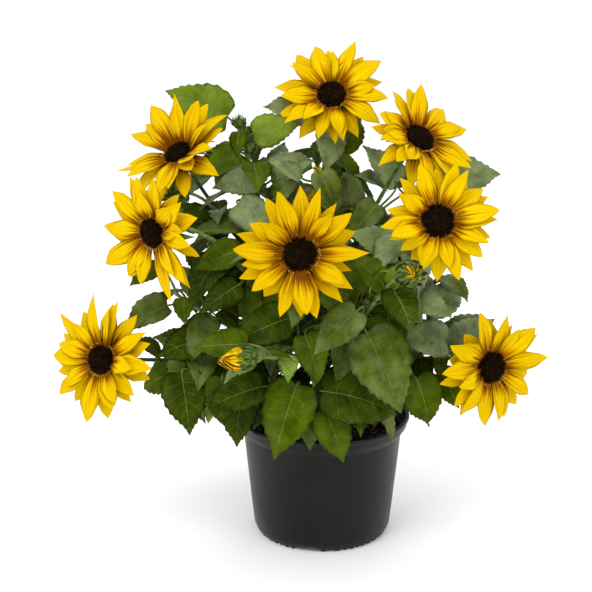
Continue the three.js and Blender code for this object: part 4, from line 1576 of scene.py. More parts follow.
# Some leaf finishes lay pale patches of painted sheen over their blades, by the share given last
LEAF_FINISHES = {
    LeafTone.D: GreenFinish("LeafDeep", (34, 45, 0), (58, 73, 4), specular=0.015, painted_sheen=0.04),
    LeafTone.M: GreenFinish("LeafMid", (52, 66, 8), (82, 96, 20), 0.42, painted_sheen=0.32),
    LeafTone.F: GreenFinish("LeafFresh", (52, 67, 0), (78, 95, 6), specular=0.015, painted_sheen=0.05),
    # The grey blades' pale tones and heavy patches are painted sheen for leaves in the light
    LeafTone.G: GreenFinish("LeafGreyPaintedSheen", (66, 82, 34), (108, 124, 70), 0.34, bump=0.8, specular=0.28, painted_sheen=0.62),
    LeafTone.B: GreenFinish("LeafBright", (76, 98, 4), (112, 132, 22), painted_sheen=0.14),
    LeafTone.UNDER: GreenFinish("LeafUnder", (80, 94, 44), (110, 122, 70), 0.66),
    LeafTone.RIB: GreenFinish("LeafRib", (98, 114, 52), (134, 146, 84), 0.55),
    LeafTone.STALK: GreenFinish("LeafStalk", (70, 92, 30), (112, 130, 60)),
    LeafTone.YOUNG: GreenFinish("LeafYoung", (88, 118, 32), (124, 148, 62), 0.55),
    LeafTone.VEIN: GreenFinish("LeafVein", (72, 88, 22), (98, 114, 44), 0.55),
}
STEM_FINISHES = {
    Stalk.DARK: GreenFinish("StemDark", (44, 64, 24), (86, 112, 52), 0.5, 120, 1400, 0.6),
    Stalk.PALE: GreenFinish("StemPale", (92, 112, 46), (138, 154, 86), 0.52, 120, 1400, 0.6),
    Stalk.MAIN: GreenFinish("StemMain", (66, 82, 34), (112, 122, 66), 0.6, 90, 1100, 0.9),
}
PETAL_FACE = PetalFinish("PetalFace", (104, 58, 0), (182, 124, 0), (222, 188, 0), (206, 162, 0), 0.4)
PETAL_CENTRE = PetalFinish("PetalCentre", (100, 56, 0), (176, 120, 0), (216, 180, 0), (198, 152, 0))
PETAL_BACK = PetalFinish("PetalBack", (142, 110, 6), (190, 150, 0), (220, 184, 0), (200, 160, 0), 0.3)
FLORET_TONES = ((9, 5, 0), (22, 13, 3), (46, 29, 8))
FLORET_TIP_TONES = ((130, 92, 24), (180, 134, 46), (214, 174, 88))
DISC_FINISHES = (
    GrainFinish("DiscDark", ((8, 4, 0), (15, 9, 2), (26, 16, 4)), 0.85, 260, 1600, 0.8, specular=0.03),
    GrainFinish("Florets", FLORET_TONES, 0.75, 300, 2200, 0.4, specular=0.04),
    GrainFinish("FloretTips", FLORET_TIP_TONES, 0.6, 300, 2200, 0.3, specular=0.1),
)
BRACT_GREEN = GreenFinish("Bract", (64, 92, 30), (112, 140, 66), 0.55, 150, 1400)
BUD_FINISHES = (
    GreenFinish("BudGreen", (44, 64, 22), (104, 124, 58), 0.55, 260, 1800),
    GreenFinish("BudYellow", (186, 130, 0), (238, 196, 6), 0.5, 260, 1800),
)
POT_PLASTIC = GrainFinish(
    "PotPlastic", ((8, 8, 7), (12, 12, 10), (16, 16, 14)), 0.38, 26, 2600, 0.12, 0.0002, 0.05, 0.2,
)
MIX_FINISHES = (
    GrainFinish("MixDark", ((22, 14, 9), (40, 27, 18), (62, 44, 30)), 0.92, 180, 1300, 1.0, 0.001),
    GrainFinish("BarkDark", ((34, 21, 14), (58, 38, 25)), 0.9, 220, 1500, 0.9, 0.0008),
    GrainFinish("BarkRed", ((62, 36, 22), (98, 62, 38)), 0.88, 220, 1500, 0.9, 0.0008),
    GrainFinish("BarkTan", ((104, 76, 50), (146, 112, 78)), 0.86, 220, 1500, 0.9, 0.0008),
    GrainFinish("BarkGrey", ((66, 58, 48), (100, 90, 76)), 0.88, 220, 1500, 0.9, 0.0008),
)


@dataclass
class LeafSheets(Sheets):
    """Leaves: heart-shaped blades with teeth, quilted between their side veins."""

    seed: int = 1
    cells: int = 7
    width: float = 0.385
    slant: float = 0.9
    lobe: float = 0.1

    def __post_init__(self) -> None:
        """Draws how each leaf bends, folds, droops, twists, ripples and spreads."""
        random = np.random.default_rng(self.seed)
        shape = (len(self.lengths), 1, 1)
        self.bend: Array = np.radians(random.uniform(24, 66, shape))
        self.fold: Array = np.radians(random.uniform(5, 25, shape))
        self.droop: Array = random.uniform(0.0, 0.36, shape)
        self.twist: Array = np.radians(random.uniform(-16, 16, shape))
        self.ripple: Array = random.uniform(0.006, 0.024, shape)
        self.phase: Array = random.uniform(0, 2 * math.pi, shape)
        self.broad: Array = self.width * random.uniform(0.92, 1.1, shape)

    def surface(self, t: Array, v: Array, order: Array, height: float) -> Array:
        """Points of the blades.

        A row slants forward to the edge as a side vein does: u = t + slant t (1 - t) |v|. The half width is
        u^0.45 (1 - u)^1.15 at its peak of 1, pinched before the tip, with teeth at |v| = 1 on every other row. The
        rows by the base swing back into two lobes. The face folds up about the midrib by the fold, sags towards its
        edges, ripples along them and swells between the side veins as |sin(cells pi t)|. The whole turns along an arc.

        Args:
            t: Shape (R, C), from base to tip.
            v: Shape (R, C), from edge to edge.
            order: Row numbers, shape (R, 1).
            height: The height off the face.

        Returns:
            Shape (N, R, C, 3).
        """
        length = self.lengths[:, None, None]
        edge = np.abs(v)
        u = np.clip(t + self.slant * t * (1 - t) * edge, 0, 1)
        half = u**0.45 * (1 - u) ** 1.15 / BLADE_PEAK
        tooth = np.where(order % 2 == 0, 1.0, -1.0) * edge**14 * np.clip((1 - u) * 6, 0, 1)
        pinch = 1 - 0.2 * np.exp(-(((u - 0.9) / 0.08) ** 2))
        width = half * self.broad * length * pinch * (1 + 0.035 * tooth)
        run = u - self.lobe * edge**1.3 * np.exp(-t / 0.11) + 0.012 * tooth
        swell = np.abs(np.sin(self.cells * math.pi * t)) * edge**0.5 * (1 - edge**2) * np.clip((1 - t) * 3, 0, 1)
        lift = edge * width * np.sin(self.fold) - self.droop * edge**2 * width * 0.6
        lift = lift + 0.03 * length * swell * np.clip(t * 8, 0, 1)
        wave = np.sin(2 * math.pi * 2.4 * u + self.phase + np.where(v < 0, 1.9, 0.0))
        lift = lift + self.ripple * length * edge**2 * wave * np.clip(t * 5, 0, 1) + height * (1 + 0.02 * length * edge)
        aside = v * width * np.cos(self.fold)
        turn = self.twist * u
        aside, lift = aside * np.cos(turn) - lift * np.sin(turn), aside * np.sin(turn) + lift * np.cos(turn)
        arc = self.bend * run
        forward = np.sin(arc) / self.bend * length + lift * np.sin(arc)
        rise = lift * np.cos(arc) - (1 - np.cos(arc)) / self.bend * length
        return self.put(forward, rise, aside)

    def ribs(self, t: Array, v: Array, width: Array, above: Array, below: float, slots: Array) -> Skin:
        """Thin ribs along lines of the blades, standing a little above and below them.

        Args:
            t: Each line's shares along the blade, shape (K, M).
            v: Its shares across, shape (K, M).
            width: Half widths along it, shape (M,).
            above: Heights over the face, shape (M,).
            below: The depth under it.
            slots: The ribs' slots, able to take the shape (N K, M + 1, 4).

        Returns:
            The skin.
        """
        order = np.ones((t.shape[0], 1))
        path = self.surface(t, v, order, 0.0)
        ahead = self.surface(t + 0.01, v, order, 0.0) - self.surface(t - 0.01 * (t > 0.02), v, order, 0.0)
        aside = self.surface(t, v + 0.02, order, 0.0) - self.surface(t, v - 0.02, order, 0.0)
        normal = unit(np.cross(aside, ahead))
        along = unit(np.gradient(path, axis=2))
        side = unit(np.cross(along, normal))
        width, above = width[None, None, :, None], above[None, None, :, None]
        ring = (path + side * width, path - normal * below, path - side * width, path + normal * above)
        ring = np.stack(ring, axis=3).reshape(-1, t.shape[1], 4, 3)
        path = path.reshape(-1, t.shape[1], 3)
        return Skin.lofts(path[:, 0], ring, path[:, -1], slots)


@dataclass(frozen=True)
class LeafMake:
    """How finely one size of leaf is made: its blade, midrib and stalk, and the shares that are young or fresh."""

    rows: Array
    columns: Array
    cells: int
    thick: float
    midrib: Array
    midrib_tip: float
    midrib_width: float
    midrib_rise: float
    midrib_depth: float
    stalk: float
    stalk_sides: int
    young: float = 0.0
    fresh: float = 0.0
    veined: bool = False


FULL_GROWN = LeafMake(
    rows=np.array([0.4, *range(1, 21), 20.55]) / 21, columns=np.array([-1, -0.8, -0.52, -0.24, 0, 0.24, 0.52, 0.8, 1]),
    cells=7, thick=0.45, midrib=np.linspace(0.012, 0.97, 14), midrib_tip=0.12, midrib_width=0.62, midrib_rise=0.05,
    midrib_depth=1.4, stalk=1.35, stalk_sides=7, veined=True,
)
YOUNG_GROWN = LeafMake(
    rows=np.array([0.5, *range(1, 12), 11.5]) / 12, columns=np.array([-1, -0.55, 0, 0.55, 1]),
    cells=4, thick=0.4, midrib=np.linspace(0.02, 0.95, 7), midrib_tip=0.15, midrib_width=0.5, midrib_rise=0.0,
    midrib_depth=0.8, stalk=0.95, stalk_sides=5, young=0.2, fresh=0.5,
)


@dataclass
class Foliage:
    """All the leaves, in pieces by where their stems stand. Shades differ above two heights, high and middle: higher
    up, more blades take the grey tone, which is painted sheen where light falls on the top of the crown.
    """

    plant: Plant
    high: float = 290.0
    middle: float = 200.0
    vein_points: int = 6
    groups: dict[str, list[str]] = field(default_factory=lambda: {
        "leaves_skirt": [row.name for row in SHOOTS[:7]],
        "leaves_left": ["upper_left", "mid_left", "lower_left", "side_left", "inner_left", "inner_top_left"],
        "leaves_right": ["upper_right", "right", "lower_right", "side_right", "inner_right"],
        "leaves_middle": ["top", "centre", "inner_front"],
        "leaves_back": ["back_top", "back_left", "back_right", "side_back_left", "side_back_right"],
    })

    def tone(self, leaf: Leaf, chance: float) -> LeafTone:
        """The shade of a leaf.

        Args:
            leaf: The leaf.
            chance: A draw from 0 to 1.

        Returns:
            Its own shade, or else one by its height and the draw.
        """
        if leaf.tone is not None:
            return leaf.tone
        tones = (LeafTone.G, LeafTone.M, LeafTone.D, LeafTone.F, LeafTone.B)
        # Higher up, more blades take the grey tone, which is painted sheen where light falls on the top of the crown
        if leaf.base[2] > self.high:
            shares = (0.58, 0.74, 0.82, 0.93, 1.0)
        elif leaf.base[2] > self.middle:
            shares = (0.12, 0.54, 0.84, 0.98, 1.0)
        else:
            shares = (0.0, 0.34, 0.86, 1.0, 1.0)
        return tones[int(np.searchsorted(shares, chance))]

    def stalks(self, roots: Array, sheets: LeafSheets, make: LeafMake) -> Skin:
        """Leaf stalks that leave the stem rising and arch over into their blades.

        Args:
            roots: Where they leave the stem, shape (N, 3).
            sheets: The blades.
            make: How thick and fine they are.

        Returns:
            The skin.
        """
        bases, forwards = sheets.roots, sheets.directions
        span = np.linalg.norm(bases - roots, axis=1)[:, None]
        leave = roots + unit(unit(bases - roots) + 0.45 * UP) * span * 0.36
        arrive = bases - forwards * span * 0.26
        ends = bases + forwards * 1.5
        t = np.linspace(0, 1, len(STALK_TAPER))[None, :, None]
        paths = cubic(t, *(points[:, None] for points in (roots, leave, arrive, ends)))
        radii = make.stalk * np.array(STALK_TAPER)[None, :, None]
        return tubes(paths, radii, make.stalk_sides, sheets.normals, np.array(LeafTone.STALK), 0.88)

    def veins(self, sheets: LeafSheets, tones: Array) -> list[Skin]:
        """The side veins, pale ones on the pale blades: the bright ones, and the grey ones whose paleness is painted
        sheen.

        Args:
            sheets: The blades.
            tones: Their shades, shape (N,).

        Returns:
            The veins of each half.
        """
        points, each = self.vein_points, sheets.cells - 1
        pale = np.isin(tones, (LeafTone.G, LeafTone.B))
        slots = np.where(pale, LeafTone.RIB, LeafTone.VEIN).repeat(each)[:, None, None]
        t = np.repeat((np.arange(1, sheets.cells) / sheets.cells)[:, None], points, axis=1)
        reach, narrow, rise = np.linspace(0.02, 0.88, points), np.linspace(0.3, 0.1, points), np.full(points, 0.1)
        halves = [np.repeat((hand * reach)[None], each, axis=0) for hand in (-1, 1)]
        return [sheets.ribs(t, v, narrow, rise, 0.75, slots) for v in halves]

    def blades(self, leaves: list[Leaf], make: LeafMake, seed: int) -> list[Skin]:
        """Leaves of one size, with their ribs and stalks.

        Args:
            leaves: The leaves.
            make: How finely they are made.
            seed: Their seed.

        Returns:
            Their skins.
        """
        frames = [(leaf.base, leaf.forward, leaf.normal) for leaf in leaves]
        lengths = np.array([leaf.length for leaf in leaves])
        sheets = LeafSheets(*np.array(frames).swapaxes(0, 1), lengths, seed, make.cells)
        tones = []
        for leaf, chance in zip(leaves, np.random.default_rng(seed + SHADE_SEED).uniform(0, 1, len(leaves))):
            young, fresh = chance < make.young, chance < make.fresh
            tones.append(LeafTone.YOUNG if young else LeafTone.F if fresh else self.tone(leaf, chance))
        tones, unders = np.array(tones), np.full(len(leaves), LeafTone.UNDER)
        middle, thin = make.midrib[None], np.linspace(1, make.midrib_tip, make.midrib.size)
        width, rise = make.midrib_width * thin, 0.2 * thin + make.midrib_rise
        skins = [
            sheets.skin(make.rows, make.columns, make.thick, (tones, unders)),
            sheets.ribs(middle, np.zeros_like(middle), width, rise, make.midrib_depth, np.array(LeafTone.RIB)),
        ]
        if make.veined:
            skins += self.veins(sheets, tones)
        roots = np.array([leaf.root for leaf in leaves])
        return [*skins, self.stalks(roots, sheets, make)]

    def build(self) -> None:
        """Builds the leaves, with one piece for each part of the crown."""
        finishes = [LEAF_FINISHES[tone].material() for tone in LeafTone]
        for number, (name, stems) in enumerate(self.groups.items()):
            large = [leaf for leaf in self.plant.leaves if leaf.stem in stems]
            small = [leaf for leaf in self.plant.small_leaves if leaf.stem in stems]
            skins = self.blades(large, FULL_GROWN, LARGE_SEED + number)
            skins += self.blades(small, YOUNG_GROWN, SMALL_SEED + number)
            piece = write_piece(name, skins, finishes)
            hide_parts(*["foliage_" + stem for stem in stems])


@dataclass
class Stems:
    """The main stem with its flare and the side stems, shoots, bloom necks and twigs."""

    plant: Plant
    slim: float = 0.68
    trunk_steps: int = 44
    trunk_sides: int = 28
    limb_steps: int = 46
    limb_sides: int = 12
    twig_steps: int = 20
    twig_sides: int = 8

    def main_stem(self) -> Skin:
        """The main stem: its radius by height, wider at the soil, with ridges that run up it and die out.

        Returns:
            The skin.
        """
        steps = np.linspace(0, 1, self.trunk_steps)
        radii = np.interp(steps, TRUNK.steps, TRUNK.radii)
        angles = ring_angles(self.trunk_sides)
        flare = np.exp(-steps / 0.05)[:, None]
        ridges = 1 + 0.035 * np.cos(7 * angles + 3 * steps[:, None]) + 0.10 * flare * np.cos(5 * angles)
        paths = np.array([trunk_at(step) for step in steps])
        paths[0, 2] = POT.soil_top - 1.0
        reach, reference = (radii[:, None] * ridges)[None], np.array([[1.0, 0.0, 0.0]])
        return tubes(paths[None], reach, self.trunk_sides, reference, np.array(Stalk.MAIN))

    def side_stem(self, limb: Limb) -> Skin:
        """A side stem: an even taper, shallow ridges that wind round it, and a swelling where each leaf leaves.

        Args:
            limb: The stem.

        Returns:
            The skin.
        """
        shares = np.linspace(0, 1, self.limb_steps)
        paths = limb.curve.at(shares)
        radii = (limb.root_radius + (LIMB.tip_radius - limb.root_radius) * shares) * self.slim
        for share in limb.leaves:
            radii = radii * (1 + 0.22 * np.exp(-(((shares - share) / 0.013) ** 2)))
        if limb.row.petals:
            radii = radii * (1 + 1.1 * smooth(0.95, 1.0, shares))
        ridges = 1 + 0.05 * np.cos(5 * ring_angles(self.limb_sides) + 9 * shares[:, None])
        a, b, _, d = limb.curve.controls
        reference = unit(np.cross(d - a, b - a) + 1e-6)[None]
        reach = (radii[:, None] * ridges)[None]
        return tubes(paths[None], reach, self.limb_sides, reference, np.array(limb.row.stalk))

    def build(self) -> None:
        """Builds one piece for all the stems."""
        skins = [self.main_stem()]
        skins += [self.side_stem(limb) for limb in self.plant.limbs.values()]
        radii, reference = np.full((1, 1, 1), LIMB.twig_radius * 0.85), np.array([[0.3, 0.8, 0.5]])
        for curve in self.plant.twigs:
            paths = curve.at(np.linspace(0, 1, self.twig_steps))[None]
            skins.append(tubes(paths, radii, self.twig_sides, reference, np.array(Stalk.PALE)))
        piece = write_piece("stems", skins, [STEM_FINISHES[stalk].material() for stalk in Stalk])
        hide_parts("main_stem", *["stem_" + row.name for row in BLOOM_STEMS])


@dataclass
class PetalSheets(Sheets):
    """Ray petals: long pointed blades with two furrows, bowed and curled at their tips."""

    seed: int = 1
    half_width: float = 10.1

    def __post_init__(self) -> None:
        """Draws how each petal bows, curls, twists, spreads and ends."""
        random = np.random.default_rng(self.seed)
        shape = (len(self.lengths), 1, 1)
        self.cup: Array = random.uniform(0.0, 0.07, shape)
        self.curl: Array = random.uniform(-0.16, 0.10, shape)
        self.twist: Array = np.radians(random.normal(0, 15, shape))
        self.trough: Array = random.uniform(-0.05, 0.34, shape)
        self.early: Array = random.uniform(1.0, 1.55, shape)
        self.wide: Array = self.half_width * random.uniform(0.8, 1.08, shape)
        self.blunt: Array = random.uniform(0.85, 1.4, shape)
        self.nick: Array = random.uniform(0.0, 0.13, shape)
        self.phase: Array = random.uniform(0, 2 * math.pi, shape)
        self.sway: Array = random.uniform(-0.05, 0.05, shape)

    def surface(self, u: Array, v: Array, order: Array, height: float) -> Array:
        """Points of the petals.

        With w = u^early, the half width is (0.42 + 0.58 sin(pi w)) up to the middle, times (1 - w^3)^blunt all along,
        with nicks in the edge towards the tip. The face is a trough v^2 with furrows cos(3 pi v), bows as sin(pi u),
        curls towards the tip as u^3, sways sideways as u^2 and twists evenly.

        Args:
            u: Shape (R, C), from root to tip.
            v: Shape (R, C), from edge to edge.
            order: Row numbers, shape (R, 1); not used.
            height: The height off the face.

        Returns:
            Shape (N, R, C, 3).
        """
        length = self.lengths[:, None, None]
        w = np.clip(u, 0, 1) ** self.early
        half = (0.42 + 0.58 * np.sin(math.pi * np.minimum(w, 0.5))) * (1 - w**3) ** self.blunt
        nicks = (0.04 + self.nick * u**3) * np.sin(17 * u + self.phase + np.where(v < 0, 2.4, 0)) * np.abs(v) ** 6
        width = self.wide * half * (1 + nicks)
        aside = v * width
        lift = self.trough * v**2 * width + 0.34 * np.cos(3 * math.pi * v) * np.sin(math.pi * w) + height
        turn = self.twist * u
        aside, lift = aside * np.cos(turn) - lift * np.sin(turn), aside * np.sin(turn) + lift * np.cos(turn)
        lift = lift + length * (self.cup * np.sin(math.pi * u) + self.curl * u**3)
        forward = length * (u - 0.4 * (self.curl * u**2) ** 2)
        return self.put(forward, lift, aside + self.sway * length * u**2)


@dataclass
class BractSheets(Sheets):
    """Green bracts behind a bloom or round a bud: narrow pointed blades with a keel."""

    half_width: float
    curl: float
    hug: float

    def surface(self, u: Array, v: Array, order: Array, height: float) -> Array:
        """Points of the bracts: half width u^0.3 (1 - u)^0.9, a keel |v|, a hug sin(pi u) and a curl u^3.

        Args:
            u: Shape (R, C), from root to tip.
            v: Shape (R, C), from edge to edge.
            order: Row numbers, shape (R, 1); not used.
            height: The height off the face.

        Returns:
            Shape (N, R, C, 3).
        """
        length, inside = self.lengths[:, None, None], np.clip(u, 0, 1)
        width = self.half_width * (inside**0.3 * (1 - inside) ** 0.9 / 0.6)
        lift = 0.25 * np.abs(v) * width + height + length * (self.hug * np.sin(math.pi * u) + self.curl * u**3)
        return self.put(length * u, lift, v * width)


@dataclass(frozen=True)
class Looseness:
    """How unevenly bracts lift and roll, their shortest and longest shares, and how thick they are."""

    lift: float
    roll: float
    lengths: Span
    thick: float


@dataclass(frozen=True)
class BractRing:
    """A ring of bracts or furled petals.

    Each roots out from the axis and forward of the origin, and lift is in degrees above the ring's plane.
    turn is the share of a step by which the whole ring is turned.
    """

    count: int
    out: float
    forward: float
    lift: float
    length: float
    half_width: float
    curl: float
    hug: float = 0.0
    turn: float = 0.0
    slot: int = 0

    def skin(self, origin: Array, frame: FaceFrame, loose: Looseness, random: np.random.Generator) -> Skin:
        """Builds the ring.

        Args:
            origin: The middle of the bloom or bud.
            frame: The way that it faces.
            loose: How unevenly the bracts stand.
            random: Its draws.

        Returns:
            The skin.
        """
        count = self.count
        angles = (np.arange(count) + self.turn) * (2 * math.pi / count) + random.uniform(-0.12, 0.12, count)
        lifts = np.radians(self.lift + random.uniform(-loose.lift, loose.lift, count))
        outward, directions, normals = frame.spread(angles, lifts, random.uniform(-loose.roll, loose.roll, count))
        roots = origin + outward * self.out + frame.facing * self.forward
        lengths = self.length * random.uniform(*loose.lengths, count)
        sheets = BractSheets(roots, directions, -normals, lengths, self.half_width, self.curl, self.hug)
        slots = np.full(count, self.slot)
        return sheets.skin(BRACT_ROWS, BRACT_COLUMNS, loose.thick, (slots, slots))


@dataclass
class Blooms:
    """The open flowers: petals, dark disc, bracts and the green cup behind them."""

    plant: Plant
    extra: int = 6
    florets: int = 300
    tips: int = 72
    disc_share: float = 0.95
    loose: Looseness = Looseness(lift=9, roll=0.15, lengths=(0.85, 1.1), thick=0.5)
    rings: tuple[BractRing, ...] = (
        BractRing(count=11, out=10.5, forward=-5.5, lift=-6, length=25, half_width=4.2, curl=-0.2),
        BractRing(count=11, out=8.5, forward=-8.0, lift=-26, length=21, half_width=4.2, curl=-0.2, turn=0.5),
    )
    cup: Pairs = (
        (-14.6, 0.0), (-14.4, 3.4), (-13.0, 4.8), (-11.0, 8.4), (-8.6, 11.6), (-5.5, 13.8), (-2.5, 14.9), (-2.2, 0.0),
    )

    def petals(self, head: Head) -> Skin:
        """The petals of a bloom: its two rows, and a few shorter ones between them.

        Args:
            head: The bloom.

        Returns:
            The skin.
        """
        random = np.random.default_rng(RAY_SEED + head.number)
        rays, frame = head.petals, head.frame
        reach, lifted, sag = head.row.petals
        angles = random.uniform(0, 2 * math.pi) + np.arange(self.extra) * PETAL_TURN
        lifts = np.radians(lifted + sag * np.sin(angles) * frame.top[2] + random.uniform(-2, 14, self.extra))
        outward, directions, normals = frame.spread(angles, lifts, np.radians(random.uniform(-25, 25, self.extra)))
        lengths = (reach - PETAL_ROOT) * random.uniform(0.62, 0.9, self.extra)
        roots = head.centre + outward * (PETAL_ROOT + 2) + frame.facing * 0.4
        roots = np.concatenate([rays.roots, roots])
        directions = np.concatenate([rays.directions, directions])
        normals = np.concatenate([rays.normals, normals])
        lengths = np.concatenate([rays.lengths * random.uniform(0.84, 1.11, PETAL_COUNT), lengths])
        across, above = directions @ frame.side, directions @ frame.top
        right, left, up, down = PETAL_STRETCH.get(head.row.name, (0, 0, 0, 0))
        lengths = lengths * (1 + np.where(across > 0, right, -left) * across + np.where(above > 0, up, -down) * above)
        sheets = PetalSheets(roots, directions, -normals, lengths, PETAL_SEED + head.number)
        count = len(lengths)
        rows = np.concatenate([[0.02], np.linspace(0.08, 0.93, 12), [0.985]])
        slots, numbers = (np.zeros(count, int), np.ones(count, int)), np.arange(count) + 40.0 * head.number
        return sheets.skin(rows, np.linspace(-1, 1, 7), 0.3, slots, numbers)

    def disc(self, head: Head) -> list[Skin]:
        """The disc: a dome, florets on it at golden angles, and a ring of gold tips round its edge.

        Args:
            head: The bloom.

        Returns:
            The skins.
        """
        random = np.random.default_rng(DISC_SEED + head.number)
        size = DISC.radius * DISC_SHARES.get(head.row.name, self.disc_share)
        angles = np.linspace(0, math.pi / 2, 9)
        dome = np.stack([DISC.dome * np.sin(angles) - 1.2, size * np.cos(angles)], axis=1)
        profile = np.concatenate([[[-3.0, 0.0], [-3.0, size * 0.96]], dome[:-1], [[DISC.dome - 1.6, 0.0]]])
        order = np.arange(self.florets)
        spin, share = order * FLORET_TURN, (size - 0.6) * np.sqrt((order + 0.5) / self.florets) / size
        tall = 0.9 + 0.9 * share**2 + random.uniform(-0.25, 0.35, self.florets)
        florets = Florets(spin, share, tall, wide=0.76, lean=0.1, slot=1)
        spin = ring_angles(self.tips) + random.uniform(-0.05, 0.05, self.tips)
        share = 1.03 + random.uniform(-0.05, 0.05, self.tips)
        tips = Florets(spin, share, 3.5 + random.uniform(-0.6, 0.9, self.tips), wide=0.52, lean=0.5, slot=2)
        dome = revolved(head.centre, head.frame, profile, 30)
        return [dome, florets.skin(head, size), tips.skin(head, size)]

    def bracts(self, head: Head) -> list[Skin]:
        """Two rows of bracts, and the cup that bears them with the neck below it.

        Args:
            head: The bloom.

        Returns:
            The skins.
        """
        random = np.random.default_rng(BRACT_SEED + head.number)
        skins = [ring.skin(head.centre, head.frame, self.loose, random) for ring in self.rings]
        return [*skins, revolved(head.centre, head.frame, self.cup, 28)]

    def build(self) -> None:
        """Builds three pieces for each bloom: its petals, its disc and its bracts."""
        face, centre_face, back, bract = (
            finish.material() for finish in (PETAL_FACE, PETAL_CENTRE, PETAL_BACK, BRACT_GREEN)
        )
        dark = [finish.material() for finish in DISC_FINISHES]
        for head in self.plant.heads:
            name = head.row.name
            faces = [centre_face if name == "centre" else face, back]
            petals = write_piece("petals_" + name, [self.petals(head)], faces)
            disc = write_piece("disc_" + name, self.disc(head), dark)
            bracts = write_piece("bracts_" + name, self.bracts(head), [bract])
            for piece in (petals, disc, bracts):
                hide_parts("bloom_" + name)


@dataclass(frozen=True)
class Florets:
    """Small four-sided florets on a disc.

    spin holds their angles round its axis, share their distances from it as shares of the disc's radius and tall
    their heights. wide is half the width of each, lean how far they lean outward.
    """

    spin: Array
    share: Array
    tall: Array
    wide: float
    lean: float
    slot: int

    def skin(self, head: Head, size: float) -> Skin:
        """The florets, standing on the dome at dome sqrt(1 - 0.94 share^2).

        Args:
            head: The bloom.
            size: The disc's radius.

        Returns:
            The skin.
        """
        frame, outward = head.frame, head.frame.outward(self.spin)
        level = DISC.dome * np.sqrt(1 - 0.94 * np.minimum(self.share, 1) ** 2) - 1.6
        feet = head.centre + outward * (size * self.share)[:, None] + frame.facing * level[:, None]
        stand = unit(frame.facing + outward * (0.35 * self.share[:, None] + self.lean))
        heights, widths = np.array([0.0, 0.55, 0.95]), np.array([0.9, 1.0, 0.45])
        paths = feet[:, None] + stand[:, None] * (self.tall[:, None] * heights)[..., None]
        return tubes(paths, self.wide * widths[None, :, None], 4, np.cross(stand, outward), np.array(self.slot))


@dataclass
class Buds:
    """The closed and opening buds."""

    plant: Plant
    opened: dict[str, float] = field(default_factory=lambda: {"inner_left": 1.0, "inner_right": 0.25})
    loose: Looseness = Looseness(lift=8, roll=0.2, lengths=(0.8, 1.08), thick=0.4)
    small_count: int = 7
    cup: Pairs = (
        (-0.5, 0.0), (-0.48, 0.26), (-0.42, 0.5), (-0.3, 0.82), (-0.1, 0.97), (0.1, 0.9), (0.25, 0.6), (0.3, 0.0),
    )

    def skins(self, bud: BudHead) -> list[Skin]:
        """A bud: a green cup, furled petals that stand further out of an opened one, and hugging bracts.

        Args:
            bud: The bud.

        Returns:
            The skins.
        """
        random = np.random.default_rng(BUD_SEED + bud.number)
        long, wide = bud.size.length, bud.size.radius
        part = self.opened.get(bud.name, 0.0)
        furled, outer, inner = 0.55 + 0.5 * part, 0.98 - 0.3 * part, 0.8 - 0.1 * part
        rings = [
            BractRing(14, wide * 0.6, -0.16 * long, 84, long * furled, wide * 0.36, 0.42, -0.16, slot=1),
            BractRing(16, wide * 0.84, -0.3 * long, 82, long * outer, wide * 0.36, 0.55 - 0.35 * part, -0.16),
            BractRing(14, wide * 0.74, -0.4 * long, 64, long * inner, wide * 0.3, 0.1, -0.12),
        ]
        if bud.size is not BUD:
            rings = [replace(ring, count=self.small_count) for ring in rings[1:]]
        skins = [ring.skin(bud.origin, bud.frame, self.loose, random) for ring in rings]
        return [revolved(bud.origin, bud.frame, np.array(self.cup) * (long, wide), 20), *skins]

    def build(self) -> None:
        """Builds one piece for each bud."""
        finishes = [finish.material() for finish in BUD_FINISHES]
        for bud in self.plant.buds:
            write_piece("bud_" + bud.name, self.skins(bud), finishes)


